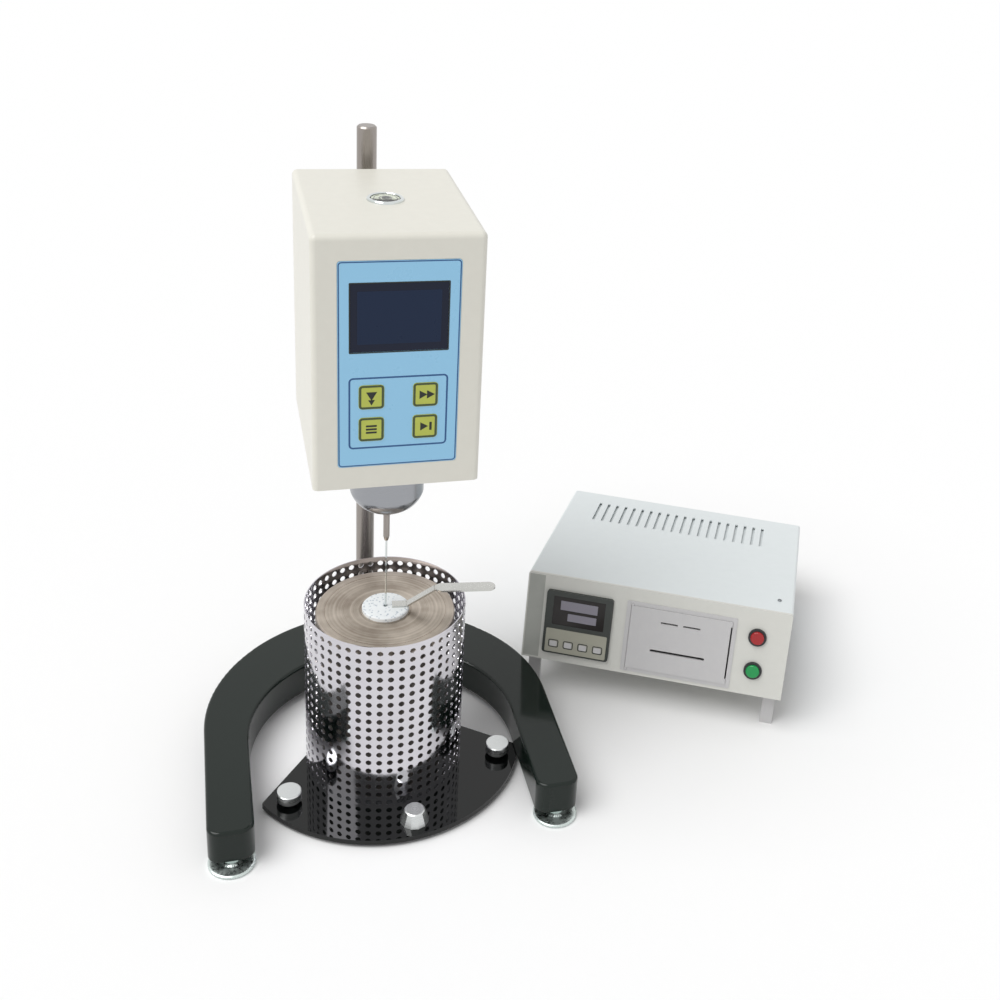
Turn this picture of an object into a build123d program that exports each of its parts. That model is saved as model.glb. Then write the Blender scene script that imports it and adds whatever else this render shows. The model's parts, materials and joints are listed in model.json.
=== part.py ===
from build123d import *
from math import atan, cos, pi, radians, sin, sqrt, tan
import os

# Rotational viscometer for hot samples: a measuring head on a column and a horseshoe
# base, a small furnace with a perforated guard, and its temperature controller.
# Millimetres, +Z up. The origin is on the floor, on the axis of the column.
# The rotor hangs in front of the column, towards -Y.

os.makedirs("parts", exist_ok=True)

# ---------------------------------------------------------------- fits
slip = 0.05               # radial clearance of a shaft in its bearing
loose = 0.25              # clearance round a key, a window or a cover
foot_gap = 0.6            # from the top of a levelling foot to the casting

# ---------------------------------------------------------------- horseshoe base
spindle_reach = 158.0     # from the column's axis to the rotor's axis
base_bottom = 11.0
base_height = 33.0
base_outer_radius = 170.0
base_inner_radius = 129.0
outer_bend_y = -131.0     # centre of the outer bend
inner_bend_y = -158.0     # centre of the inner bend
arm_end_y = -275.0
arm_corner = 12.0
base_edge = 3.0
casting_wall = 8.0
casting_roof = 9.0
rib_thickness = 5.0
boss_radius = 9.0
column_boss_radius = 20.0

# ---------------------------------------------------------------- levelling feet
foot_disc_radius = 21.0
foot_disc_edge = 3.0
foot_hub_radius = 8.0
foot_screw_radius = 4.0
foot_screw_reach = 17.0   # how far the screw goes up into the casting
foot_inset = 10.0         # from the end of an arm to the foot's axis

# ---------------------------------------------------------------- column and rack
column_radius = 9.2
column_top = 606.0
column_seat = 31.0
column_chamfer = 1.5
groove_bottom = 536.5      # a groove just above the carriage's highest place
groove_width = 1.3
groove_depth = 0.6
module = 1.0
pressure_angle = radians(25.0)
pinion_teeth = 14
backlash = 0.16
rack_width = 6.0
rack_pitch_line = 7.6     # from the column's axis to the rack's pitch line
rack_bottom = 436.0
rack_teeth = 30

# ---------------------------------------------------------------- measuring head
head_width = 141.0
head_depth = 187.0
head_height = 226.0
head_bottom = 349.0
head_nose_reach = 61.4    # from the rotor's axis to the head's front face
head_round = 5.0
head_wall = 3.0
panel_width = 99.6
panel_height = 183.4
panel_thickness = 0.8
panel_recess = 0.6
panel_centre = 112.7      # above the head's bottom
panel_round = 3.0
window_width = 79.0
window_height = 59.0
window_centre = 155.5     # above the head's bottom
window_flange = 3.0
window_flange_thickness = 1.5
key_width = 21.0
key_height = 22.0
key_pitch_x = 44.6
key_pitch_z = 29.6
keys_centre = 70.5        # above the head's bottom
key_travel = 0.5
key_proud = 0.7
key_flange = 1.5
key_flange_thickness = 1.2
board_width = 112.0
board_height = 196.0
board_thickness = 1.6
board_standoff = 7.0
standoff_radius = 3.5
standoff_inset = 6.0
level_offset = 30.0       # from the rotor's axis to the level's centre
level_radius = 16.0
level_vial_radius = 12.5
level_flange = 2.0
level_depth = 9.0
base_plate_thickness = 3.0

# ---------------------------------------------------------------- nose and drive
nose_radius = 33.0
nose_height = 55.5
nose_straight = 36.5
nose_tip_radius = 12.0
nose_wall = 3.0
nose_floor = 10.0
nose_spigot_radius = 20.0
bearing_outer = 8.0
bearing_width = 4.0
shaft_radius = 2.5
shaft_hole = 3.2
frame_radius = 30.0
frame_plate = 4.0
pillar_radius = 4.0
pillar_circle = 24.0
pillar_height = 52.0
motor_radius = 25.0
motor_height = 38.0
motor_shaft_length = 30.0
encoder_radius = 17.0
encoder_thickness = 1.0
encoder_slots = 24
encoder_height = 18.0     # above the drive frame's lower plate
spring_height = 30.0      # above the drive frame's lower plate
spring_width = 4.0
spring_thickness = 0.5
spring_turns = 3
spring_step = 1.3         # how far each half turn moves out
spring_hub = 3.4
driver_radius = 15.5
driver_thickness = 3.0
driver_hub_radius = 5.0
driver_hub_height = 7.0
driver_pin_radius = 1.0

# ---------------------------------------------------------------- rotor
coupling_gap = 1.2        # below the nose
coupling_collar_radius = 4.2
coupling_collar_height = 7.5
coupling_radius = 2.9
coupling_height = 23.0
coupling_tip_height = 4.5
coupling_tip_radius = 1.7
shaft_grip = 6.0          # how far the shaft goes into the coupling
wire_radius = 0.9
wire_grip = 5.0
bob_radius = 5.88
bob_body = 26.0
bob_cone = 4.0
bob_neck_radius = 1.8
bob_neck = 5.0
bob_bottom = 93.0

# ---------------------------------------------------------------- carriage and lift
carriage_bottom = 430.0
carriage_height = 60.0
carriage_radius = 20.0
carriage_flange_width = 84.0
carriage_flange_thickness = 6.0
carriage_web = 36.0
ear_reach = 43.0
ear_half = 11.0
ear_height = 30.0
slit = 2.0
clamp_x = -31.0
clamp_radius = 3.0
clamp_knob_radius = 12.0
clamp_knob_length = 18.0
clamp_lobes = 5
pinion_boss_radius = 13.0
pinion_boss_left = 14.0
pinion_boss_right = 24.0
pinion_width = 5.0
pinion_small_journal = 3.0
pinion_large_journal = 8.6
journal_start = 8.0
lift_knob_radius = 17.0
lift_knob_length = 18.0
lift_knob_bore = 4.0
lift_knob_flutes = 12
lift_knob_gap = 3.0

# ---------------------------------------------------------------- furnace
plate_bottom = 4.0
plate_thickness = 5.0
plate_radius = 138.0
plate_offset = 19.5       # from the rotor's axis to the plate's centre, towards the column
plate_turn = 7.6          # degrees
plate_cut = 77.5          # from the plate's centre to where its two straight edges meet
plate_tip_round = 2.0
plate_stud_radius = 7.0
plate_stud_y = 58.0
ring_height = 11.0
ring_hole = 18.0
guard_radius = 75.3
guard_thickness = 0.9
guard_height = 182.4
guard_columns = 30
guard_rows = 12
guard_hole = 0.5          # side of a hole as a share of the pitch
jacket_radius = 63.5
jacket_thickness = 2.0
jacket_height = 149.0
top_plate_radius = 65.0
top_plate_thickness = 12.0
insulation_floor = 30.0
block_radius = 30.0
block_height = 117.0
heater_radius = 4.0
heater_circle = 20.5
heater_length = 100.0
heater_count = 4
tube_inner_radius = 9.5
tube_wall = 1.5
tube_floor = 4.0
tube_bottom = 79.0
tube_flange_radius = 14.0
tube_flange_thickness = 4.0
lid_radius = 21.9
lid_thickness = 4.0
lid_hole = 2.2
lid_plug_length = 3.6
handle_turn = -7.0        # degrees, about the rotor's axis
handle_thickness = 1.8
handle_foot = (6.0, 20.0)
handle_grip = (46.0, 103.0)
handle_rise = 17.0
handle_foot_width = 9.0
handle_neck_width = 8.0
handle_grip_width = 13.0
screw_circle = 118.0
screw_spread = 61.5       # degrees from the front screw to each side screw
screw_radius = 3.0
screw_pad_radius = 6.0
screw_pad_height = 2.6
screw_neck_radius = 5.0
screw_neck_height = 4.5
side_knob_radius = 11.7
side_knob_height = 9.0
front_knob_radius = 13.7
front_knob_top_radius = 9.5
front_knob_height = 13.0
knob_flutes = 18

# ---------------------------------------------------------------- temperature controller
box_place = (159.4, -69.7)            # its lower front left corner, from above
box_rear_rise = 1.462073  # its lower back edge above the floor
box_yaw = -26.96          # degrees
box_tilt = 8.96           # degrees, front up
box_width = 282.0
box_depth = 259.0
box_height = 99.0
sheet = 1.5
front_thickness = 3.0
cover_round = 3.0
vent_count = 20
vent_width = 3.2
vent_length = 57.0
vent_span = 199.0
vent_left = 38.0
vent_front = 173.0
pid_size = 72.0
pid_proud = 4.0
pid_left = 22.3
pid_bottom = 10.7
pid_round = 3.0
pid_body = 66.0
pid_body_depth = 60.0
pid_window_width = 56.0
pid_window_height = 33.0
pid_window_rise = 14.5    # from the module's centre to the window's centre
pid_window_depth = 1.4
printer_left = 108.5
printer_bottom = 4.0
printer_width = 117.5
printer_height = 81.0
printer_proud = 1.0
printer_frame = 4.4
printer_body_depth = 50.0
printer_wall = 2.0
door_thickness = 2.5
door_gap = 0.2
door_proud = 1.2          # in front of the printer's frame
door_pin_radius = 0.8
door_pin_length = 1.4
door_catch = 1.4
button_inset = 33.6       # from the right side
stop_button_w = 67.7
run_button_w = 29.3
button_radius = 7.2
button_proud = 5.0
button_inside = 9.0
button_travel = 3.0
bezel_radius = 9.6
bezel_proud = 2.5
bezel_barrel = 8.6
bezel_length = 18.0
bezel_floor = 4.0
leg_inset = 12.0
leg_v = 22.0
leg_width = 13.0
leg_thickness = 6.0
leg_pivot_drop = 4.5
leg_pin_radius = 1.5
leg_ear = 2.5
leg_side_gap = 0.3
pad_radius = 7.0
pad_height = 7.0
pad_inset = 22.0
inlet_u = 60.0
inlet_w = 34.0
inlet_width = 27.0
inlet_height = 20.0
inlet_depth = 16.0
inlet_wall = 1.8
inlet_flange = 4.0
inlet_pin_recess = 8.0
transformer_place = (200.0, 170.0)
transformer_size = (62.0, 46.0, 52.0)
transformer_coil = 17.0

# ---------------------------------------------------------------- places worked out from these
base_top = base_bottom + base_height
box_corner = (*box_place, box_rear_rise + box_depth * sin(radians(box_tilt)))
button_u = box_width - button_inset
foot_x = (base_outer_radius + base_inner_radius) / 2
foot_y = arm_end_y + foot_inset
foot_places = {"foot_left": (-foot_x, foot_y), "foot_right": (foot_x, foot_y), "foot_rear": (0, 0)}
foot_screw_top = base_bottom + foot_screw_reach
pinion_radius = module * pinion_teeth / 2
pinion_y = rack_pitch_line + pinion_radius
tooth_pitch = pi * module
carriage_top = carriage_bottom + carriage_height
pinion_z = carriage_bottom + carriage_height / 2
rotor_y = -spindle_reach
head_front_y = rotor_y - head_nose_reach
head_back_y = head_front_y + head_depth
head_mid_y = head_front_y + head_depth / 2
head_top = head_bottom + head_height
level_y = rotor_y + level_offset
plate_top = plate_bottom + plate_thickness
ring_top = plate_top + ring_height
jacket_top = ring_top + jacket_height
furnace_top = jacket_top + top_plate_thickness
block_top = ring_top + insulation_floor + block_height
nose_bottom = head_bottom - nose_height
coupling_top = nose_bottom - coupling_gap
coupling_bottom = coupling_top - coupling_collar_height - coupling_height - coupling_tip_height
wire_top = coupling_bottom + wire_grip
bob_top = bob_bottom + 2 * bob_cone + bob_body + bob_neck
frame_bottom = head_bottom + base_plate_thickness
frame_deck = frame_bottom + frame_plate
frame_top = frame_deck + pillar_height + frame_plate
spring_z = frame_deck + spring_height
driver_z = spring_z + spring_width + 2 * spring_step


rotor = Plane(origin=(0, rotor_y, 0))
lift_axis = Plane(origin=(0, pinion_y, pinion_z), x_dir=(0, 1, 0), z_dir=(1, 0, 0))
clamp_axis = Plane(origin=(clamp_x, 0, pinion_z), x_dir=(1, 0, 0), z_dir=(0, -1, 0))


def upright(x, y, z=0.0):
    """A plane that stands on the axis through x and y, for a turned profile."""
    return Plane(origin=(x, y, z), x_dir=(1, 0, 0), z_dir=(0, -1, 0))


def turned(x, y, outline):
    """A closed outline of radius and height pairs, revolved about the axis through x and y."""
    with BuildSketch(upright(x, y)) as section:
        with BuildLine():
            Polyline(*outline, close=True)
        make_face()
    return revolve(section.sketch, axis=Axis((x, y, 0), (0, 0, 1)), mode=Mode.PRIVATE)


# ================================================================ stand

# The casting: a U with a wide back bar, open underneath, with ribs and bosses.
with BuildPart() as base:
    with BuildSketch(Plane.XY.offset(base_bottom)) as base_plan:
        with BuildLine():
            Line((-base_outer_radius, arm_end_y), (-base_outer_radius, outer_bend_y))
            ThreePointArc(
                (-base_outer_radius, outer_bend_y),
                (0, outer_bend_y + base_outer_radius),
                (base_outer_radius, outer_bend_y),
            )
            Line((base_outer_radius, outer_bend_y), (base_outer_radius, arm_end_y))
            Line((base_outer_radius, arm_end_y), (base_inner_radius, arm_end_y))
            Line((base_inner_radius, arm_end_y), (base_inner_radius, inner_bend_y))
            ThreePointArc(
                (base_inner_radius, inner_bend_y),
                (0, inner_bend_y + base_inner_radius),
                (-base_inner_radius, inner_bend_y),
            )
            Line((-base_inner_radius, inner_bend_y), (-base_inner_radius, arm_end_y))
            Line((-base_inner_radius, arm_end_y), (-base_outer_radius, arm_end_y))
        make_face()
        fillet(base_plan.vertices().group_by(Axis.Y)[0], arm_corner)
    extrude(amount=base_height)
    fillet(base.faces().sort_by(Axis.Z)[-1].edges(), base_edge)
    with BuildSketch(Plane.XY.offset(base_bottom)):
        add(base_plan.sketch_local)
        offset(amount=-casting_wall, mode=Mode.REPLACE)
        with Locations((0, inner_bend_y)):
            with PolarLocations((base_outer_radius + base_inner_radius) / 2, 6, 15, 150, endpoint=True):
                Rectangle(base_outer_radius - base_inner_radius + 60, rib_thickness, mode=Mode.SUBTRACT)
        with Locations(*[(side * foot_x, (foot_y + inner_bend_y) / 2) for side in (-1, 1)]):
            Rectangle(base_outer_radius - base_inner_radius, rib_thickness, mode=Mode.SUBTRACT)
        with Locations((-foot_x, foot_y), (foot_x, foot_y)):
            Circle(boss_radius, mode=Mode.SUBTRACT)
        Circle(column_boss_radius, mode=Mode.SUBTRACT)
    extrude(amount=base_height - casting_roof, mode=Mode.SUBTRACT)
    with BuildSketch(Plane.XY.offset(base_bottom)):
        with Locations(*foot_places.values()):
            Circle(foot_screw_radius + slip)
    extrude(amount=foot_screw_reach + foot_gap, mode=Mode.SUBTRACT)
    with BuildSketch(Plane.XY.offset(column_seat)):
        Circle(column_radius + slip)
    extrude(amount=base_top - column_seat, mode=Mode.SUBTRACT)
base.part.label = "horseshoe_base"
export_step(base.part, "parts/horseshoe_base.step")

# The levelling feet: a dished disc, a hub and a screw that goes up into the casting.
for foot_name, (x, y) in foot_places.items():
    with BuildPart() as foot:
        add(turned(x, y, [
            (0, 0),
            (foot_disc_radius - 1, 0),
            (foot_disc_radius, 1),
            (foot_disc_radius, foot_disc_edge),
            (foot_disc_radius - 1.5, foot_disc_edge + 0.8),
            (foot_disc_radius * 0.55, foot_disc_edge + 1.4),
            (foot_hub_radius, foot_disc_edge + 3.4),
            (foot_hub_radius, base_bottom - foot_gap),
            (foot_screw_radius, base_bottom - foot_gap),
            (foot_screw_radius, foot_screw_top),
            (0, foot_screw_top),
        ]))
    foot.part.label = foot_name
    export_step(foot.part, f"parts/{foot_name}.step")

# The column, with a rack cut in its back and a groove that ends its free top.
# One tooth is level with the pinion's axis.
rack_root = rack_pitch_line - 1.2 * module
rack_tip = rack_pitch_line + module
rack_top = rack_bottom + rack_teeth * tooth_pitch
first_tooth = pinion_z - tooth_pitch * int((pinion_z - rack_bottom) / tooth_pitch)
tooth_half = tooth_pitch / 4 - backlash / 4
root_half = tooth_half + (rack_pitch_line - rack_root) * tan(pressure_angle)
tip_half = tooth_half - (rack_tip - rack_pitch_line) * tan(pressure_angle)
with BuildPart() as column:
    with BuildSketch(Plane.XY.offset(column_seat)):
        Circle(column_radius)
    extrude(amount=column_top - column_seat)
    chamfer(column.edges().group_by(Axis.Z)[-1], column_chamfer)
    with BuildSketch(Plane.XY.offset(groove_bottom)):
        Circle(column_radius + 1)
        Circle(column_radius - groove_depth, mode=Mode.SUBTRACT)
    extrude(amount=groove_width, mode=Mode.SUBTRACT)
    with BuildSketch(Plane.YZ.offset(-rack_width / 2)):
        with BuildLine():
            teeth = []
            for count in range(rack_teeth - 1):
                middle = first_tooth + count * tooth_pitch
                teeth += [(rack_root, middle - root_half), (rack_tip, middle - tip_half)]
                teeth += [(rack_tip, middle + tip_half), (rack_root, middle + root_half)]
            Polyline((rack_root, rack_bottom), *teeth, (rack_root, rack_top),
                     (column_radius + 1, rack_top), (column_radius + 1, rack_bottom), close=True)
        make_face()
    extrude(amount=rack_width, mode=Mode.SUBTRACT)
column.part.label = "column"
export_step(column.part, "parts/column.step")

# ================================================================ carriage and lift

# The carriage slides on the column. A slit and two ears let the clamp screw grip it.
with BuildPart() as carriage:
    with BuildSketch(Plane.XY.offset(carriage_bottom)):
        Circle(carriage_radius)
        with Locations((0, head_back_y)):
            Rectangle(carriage_web, -head_back_y, align=(Align.CENTER, Align.MIN))
            Rectangle(carriage_flange_width, carriage_flange_thickness, align=(Align.CENTER, Align.MIN))
    extrude(amount=carriage_height)
    with BuildSketch(Plane.XY.offset(pinion_z - ear_height / 2)):
        Rectangle(ear_reach, 2 * ear_half, align=(Align.MAX, Align.CENTER))
    extrude(amount=ear_height)
    fillet(carriage.edges().filter_by(Axis.Z).group_by(Axis.X)[0], 4)
    with BuildSketch(lift_axis.offset(-pinion_boss_left)):
        Circle(pinion_boss_radius)
    extrude(amount=pinion_boss_left + pinion_boss_right)
    with BuildSketch(Plane.XY.offset(carriage_bottom)):
        Circle(column_radius + slip)
        Rectangle(ear_reach + 1, slit, align=(Align.MAX, Align.CENTER))
    extrude(amount=carriage_height, mode=Mode.SUBTRACT)
    with BuildSketch(lift_axis.offset(-pinion_boss_left + 1)):
        Circle(pinion_small_journal + slip)
    extrude(amount=pinion_boss_left, mode=Mode.SUBTRACT)
    with BuildSketch(lift_axis.offset(-pinion_width / 2 - loose)):
        Circle(pinion_large_journal + slip)
    extrude(amount=pinion_boss_right + pinion_width, mode=Mode.SUBTRACT)
    with BuildSketch(clamp_axis.offset(-ear_half - 1)):
        Circle(clamp_radius + slip)
    extrude(amount=2 * ear_half + 2, mode=Mode.SUBTRACT)
carriage.part.label = "carriage"
export_step(carriage.part, "parts/carriage.step")


def involute(radius, base_radius):
    """Angle that an involute flank has turned through at a radius."""
    if radius <= base_radius:
        return 0.0
    reach = sqrt((radius / base_radius) ** 2 - 1)
    return reach - atan(reach)


# The pinion shaft. A gap between two teeth faces the rack's tooth.
pinion_base = pinion_radius * cos(pressure_angle)
pinion_root = pinion_radius - 1.2 * module
pinion_tip = pinion_radius + 0.9 * module
pinion_half = (tooth_pitch / 2 - backlash / 2) / (2 * pinion_radius)
flank_radii = (pinion_root, pinion_base, pinion_radius, pinion_tip)
with BuildPart() as pinion:
    with BuildSketch(lift_axis.offset(-pinion_width / 2)):
        with BuildLine():
            outline = []
            for count in range(pinion_teeth):
                middle = pi + (count + 0.5) * 2 * pi / pinion_teeth
                for side, radii in ((-1, flank_radii), (1, flank_radii[::-1])):
                    for r in radii:
                        half = pinion_half + involute(pinion_radius, pinion_base)
                        angle = middle + side * (half - involute(r, pinion_base))
                        outline.append((r * cos(angle), r * sin(angle)))
            Polyline(*outline, close=True)
        make_face()
    extrude(amount=pinion_width)
    for start, end, radius in (
        (-pinion_boss_left + 2, -pinion_width / 2, pinion_small_journal),
        (pinion_width / 2, journal_start, pinion_small_journal + 0.5),
        (journal_start, pinion_boss_right, pinion_large_journal),
        (pinion_boss_right, pinion_boss_right + lift_knob_gap + lift_knob_length - 4, lift_knob_bore),
    ):
        with BuildSketch(lift_axis.offset(start)):
            Circle(radius)
        extrude(amount=end - start)
pinion.part.label = "lift_pinion"
export_step(pinion.part, "parts/lift_pinion.step")

# The lift knob, fluted for the fingers.
with BuildPart() as lift_knob:
    with BuildSketch(lift_axis.offset(pinion_boss_right + lift_knob_gap)):
        Circle(lift_knob_radius)
        with PolarLocations(lift_knob_radius + 1.2, lift_knob_flutes):
            Circle(2.2, mode=Mode.SUBTRACT)
    extrude(amount=lift_knob_length)
    with BuildSketch(lift_axis.offset(pinion_boss_right + lift_knob_gap)):
        Circle(lift_knob_bore)
    extrude(amount=lift_knob_length - 4, mode=Mode.SUBTRACT)
lift_knob.part.label = "lift_knob"
export_step(lift_knob.part, "parts/lift_knob.step")

# The clamp knob: a lobed head on a screw through both ears.
with BuildPart() as clamp:
    with BuildSketch(clamp_axis.offset(ear_half - 0.5)):
        Circle(clamp_radius)
    extrude(amount=-2 * ear_half - 1)
    with BuildSketch(clamp_axis.offset(-ear_half - loose)):
        Circle(clamp_knob_radius * 0.55)
    extrude(amount=-clamp_knob_length / 3)
    with BuildSketch(clamp_axis.offset(-ear_half - loose - clamp_knob_length / 3)):
        Circle(clamp_knob_radius * 0.72)
        with PolarLocations(clamp_knob_radius * 0.72, clamp_lobes):
            Circle(clamp_knob_radius * 0.28)
    extrude(amount=-clamp_knob_length * 2 / 3)
clamp.part.label = "clamp_knob"
export_step(clamp.part, "parts/clamp_knob.step")

# ================================================================ measuring head

head_front = Plane(origin=(0, head_front_y, head_bottom), x_dir=(1, 0, 0), z_dir=(0, -1, 0))
wall_back = Plane(origin=(0, head_front_y + head_wall, head_bottom), x_dir=(1, 0, 0), z_dir=(0, -1, 0))
key_names = ("rotor_key", "speed_key", "print_key", "run_key")
key_places = [
    (-key_pitch_x / 2, keys_centre + key_pitch_z / 2),
    (key_pitch_x / 2, keys_centre + key_pitch_z / 2),
    (-key_pitch_x / 2, keys_centre - key_pitch_z / 2),
    (key_pitch_x / 2, keys_centre - key_pitch_z / 2),
]
standoff_x = board_width / 2 - standoff_inset
standoff_z = board_height / 2 - standoff_inset

# The housing: a moulded case, open underneath.
with BuildPart() as housing:
    with BuildSketch(Plane.XY.offset(head_bottom)):
        with Locations((0, head_mid_y)):
            Rectangle(head_width, head_depth)
    extrude(amount=head_height)
    fillet(housing.edges().filter_by(Axis.Z) + housing.faces().sort_by(Axis.Z)[-1].edges(), head_round)
    with BuildSketch(Plane.XY.offset(head_bottom)):
        with Locations((0, head_mid_y)):
            Rectangle(head_width - 2 * head_wall, head_depth - 2 * head_wall)
    extrude(amount=head_height - head_wall, mode=Mode.SUBTRACT)
    with BuildSketch(wall_back):
        with Locations((0, panel_centre)):
            with GridLocations(2 * standoff_x, 2 * standoff_z, 2, 2):
                Circle(standoff_radius)
    extrude(amount=-board_standoff)
    with BuildSketch(head_front):
        with Locations((0, panel_centre)):
            RectangleRounded(panel_width + 2 * loose, panel_height + 2 * loose, panel_round)
    extrude(amount=-panel_recess, mode=Mode.SUBTRACT)
    with BuildSketch(head_front):
        with Locations((0, window_centre)):
            Rectangle(window_width + 2 * loose, window_height + 2 * loose)
        with Locations(*key_places):
            Rectangle(key_width + 2 * loose, key_height + 2 * loose)
    extrude(amount=-head_wall, mode=Mode.SUBTRACT)
    with BuildSketch(Plane.XY.offset(head_top)):
        with Locations((0, level_y)):
            Circle(level_vial_radius + 1 + loose)
    extrude(amount=-head_wall, mode=Mode.SUBTRACT)
housing.part.label = "head_housing"
export_step(housing.part, "parts/head_housing.step")

# The plate that closes the head from below and carries the drive.
with BuildPart() as base_plate:
    with BuildSketch(Plane.XY.offset(head_bottom)):
        with Locations((0, head_mid_y)):
            Rectangle(head_width - 2 * head_wall, head_depth - 2 * head_wall)
        with Locations((0, rotor_y)):
            Circle(nose_spigot_radius, mode=Mode.SUBTRACT)
    extrude(amount=base_plate_thickness)
base_plate.part.label = "head_base_plate"
export_step(base_plate.part, "parts/head_base_plate.step")

# The printed front panel, in a shallow recess of the housing.
with BuildPart() as panel:
    with BuildSketch(head_front.offset(-panel_recess)):
        with Locations((0, panel_centre)):
            RectangleRounded(panel_width, panel_height, panel_round)
        with Locations((0, window_centre)):
            Rectangle(window_width + 2 * loose, window_height + 2 * loose, mode=Mode.SUBTRACT)
        with Locations(*key_places):
            Rectangle(key_width + 2 * loose, key_height + 2 * loose, mode=Mode.SUBTRACT)
    extrude(amount=panel_thickness)
panel.part.label = "control_panel"
export_step(panel.part, "parts/control_panel.step")

# The display window, held behind the wall by its flange.
with BuildPart() as window:
    with BuildSketch(wall_back):
        with Locations((0, window_centre)):
            Rectangle(window_width, window_height)
    extrude(amount=head_wall)
    with BuildSketch(wall_back):
        with Locations((0, window_centre)):
            Rectangle(window_width + 2 * window_flange, window_height + 2 * window_flange)
    extrude(amount=-window_flange_thickness)
window.part.label = "lcd_window"
export_step(window.part, "parts/lcd_window.step")

# The four keys of the front panel, each with a flange behind the wall.
for key_name, place in zip(key_names, key_places):
    with BuildPart() as key:
        with BuildSketch(wall_back.offset(-loose)):
            with Locations(place):
                Rectangle(key_width, key_height)
        extrude(amount=head_wall + loose + key_proud)
        fillet(key.faces().sort_by(Axis.Y)[0].edges(), 0.4)
        with BuildSketch(wall_back.offset(-loose)):
            with Locations(place):
                Rectangle(key_width + 2 * key_flange, key_height + 2 * key_flange)
        extrude(amount=-key_flange_thickness)
    key.part.label = key_name
    export_step(key.part, f"parts/{key_name}.step")

# The board on its four standoffs, with the display module and a switch behind each key.
switch_height = board_standoff - loose - key_flange_thickness - key_travel - 0.15
with BuildPart() as board:
    with BuildSketch(wall_back.offset(-board_standoff)):
        with Locations((0, panel_centre)):
            Rectangle(board_width, board_height)
    extrude(amount=-board_thickness)
    with BuildSketch(wall_back.offset(-board_standoff)):
        with Locations((0, window_centre)):
            Rectangle(window_width + 4, window_height + 4)
    extrude(amount=board_standoff - window_flange_thickness)
    with BuildSketch(wall_back.offset(-board_standoff)):
        with Locations(*key_places):
            Rectangle(6, 6)
    extrude(amount=switch_height)
board.part.label = "display_board"
export_step(board.part, "parts/display_board.step")

# The level: a chromed ring in the top of the housing round a glass vial.
with BuildPart() as level_ring:
    add(turned(0, level_y, [
        (level_vial_radius, head_top - level_depth),
        (level_vial_radius + 1, head_top - level_depth),
        (level_vial_radius + 1, head_top),
        (level_radius, head_top),
        (level_radius, head_top + level_flange * 0.5),
        (level_radius - 1, head_top + level_flange),
        (level_vial_radius, head_top + level_flange),
    ]))
level_ring.part.label = "level_ring"
export_step(level_ring.part, "parts/level_ring.step")

with BuildPart() as vial:
    with BuildSketch(Plane.XY.offset(head_top - level_depth)):
        with Locations((0, level_y)):
            Circle(level_vial_radius)
    extrude(amount=level_depth + level_flange - 0.6)
    fillet(vial.edges().group_by(Axis.Z)[-1], 0.6)
vial.part.label = "level_vial"
export_step(vial.part, "parts/level_vial.step")

# The nose: a turned bell under the head, with the lower bearing in its floor.
with BuildPart() as nose:
    with BuildSketch(upright(0, rotor_y)):
        with BuildLine():
            nose_bend = head_bottom - nose_straight
            Line((0, head_bottom), (nose_radius, head_bottom))
            Line((nose_radius, head_bottom), (nose_radius, nose_bend))
            RadiusArc((nose_radius, nose_bend), (nose_tip_radius, nose_bottom), 25)
            Line((nose_tip_radius, nose_bottom), (0, nose_bottom))
            Line((0, nose_bottom), (0, head_bottom))
        make_face()
    revolve(axis=Axis((0, rotor_y, 0), (0, 0, 1)))
    with BuildSketch(rotor.offset(head_bottom)):
        Circle(nose_spigot_radius)
    extrude(amount=base_plate_thickness)
    with BuildSketch(rotor.offset(nose_bottom + nose_floor)):
        Circle(nose_spigot_radius - nose_wall)
    extrude(amount=nose_height - nose_floor + base_plate_thickness, mode=Mode.SUBTRACT)
    with BuildSketch(rotor.offset(nose_bottom + nose_wall)):
        Circle(bearing_outer)
    extrude(amount=nose_floor, mode=Mode.SUBTRACT)
    with BuildSketch(rotor.offset(nose_bottom)):
        Circle(shaft_hole)
    extrude(amount=nose_wall, mode=Mode.SUBTRACT)
nose.part.label = "nose_cup"
export_step(nose.part, "parts/nose_cup.step")

# The two ball bearings of the spindle: one in the nose, one in the drive frame.
with BuildPart() as bearings:
    for height in (nose_bottom + nose_wall, frame_bottom):
        with BuildSketch(rotor.offset(height)):
            Circle(bearing_outer)
            Circle(shaft_radius + slip, mode=Mode.SUBTRACT)
        extrude(amount=bearing_width)
bearings.part.label = "spindle_bearings"
export_step(bearings.part, "parts/spindle_bearings.step")

# The drive frame: two plates on three pillars.
with BuildPart() as frame:
    with BuildSketch(rotor.offset(frame_bottom)):
        Circle(frame_radius)
        Circle(bearing_outer, mode=Mode.SUBTRACT)
    extrude(amount=frame_plate)
    with BuildSketch(rotor.offset(frame_deck)):
        with PolarLocations(pillar_circle, 3):
            Circle(pillar_radius)
    extrude(amount=pillar_height)
    with BuildSketch(rotor.offset(frame_top - frame_plate)):
        Circle(frame_radius)
        Circle(driver_hub_radius + 1, mode=Mode.SUBTRACT)
    extrude(amount=frame_plate)
frame.part.label = "drive_frame"
export_step(frame.part, "parts/drive_frame.step")

# The motor stands on the frame. It is bored for its own shaft, which turns with the driver.
with BuildPart() as motor:
    with BuildSketch(rotor.offset(frame_top)):
        Circle(motor_radius)
    extrude(amount=motor_height)
    chamfer(motor.edges().group_by(Axis.Z)[-1], 2)
    with BuildSketch(rotor.offset(frame_top)):
        Circle(shaft_radius + slip)
    extrude(amount=motor_shaft_length + slip, mode=Mode.SUBTRACT)
motor.part.label = "drive_motor"
export_step(motor.part, "parts/drive_motor.step")

# ================================================================ spindle

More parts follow.
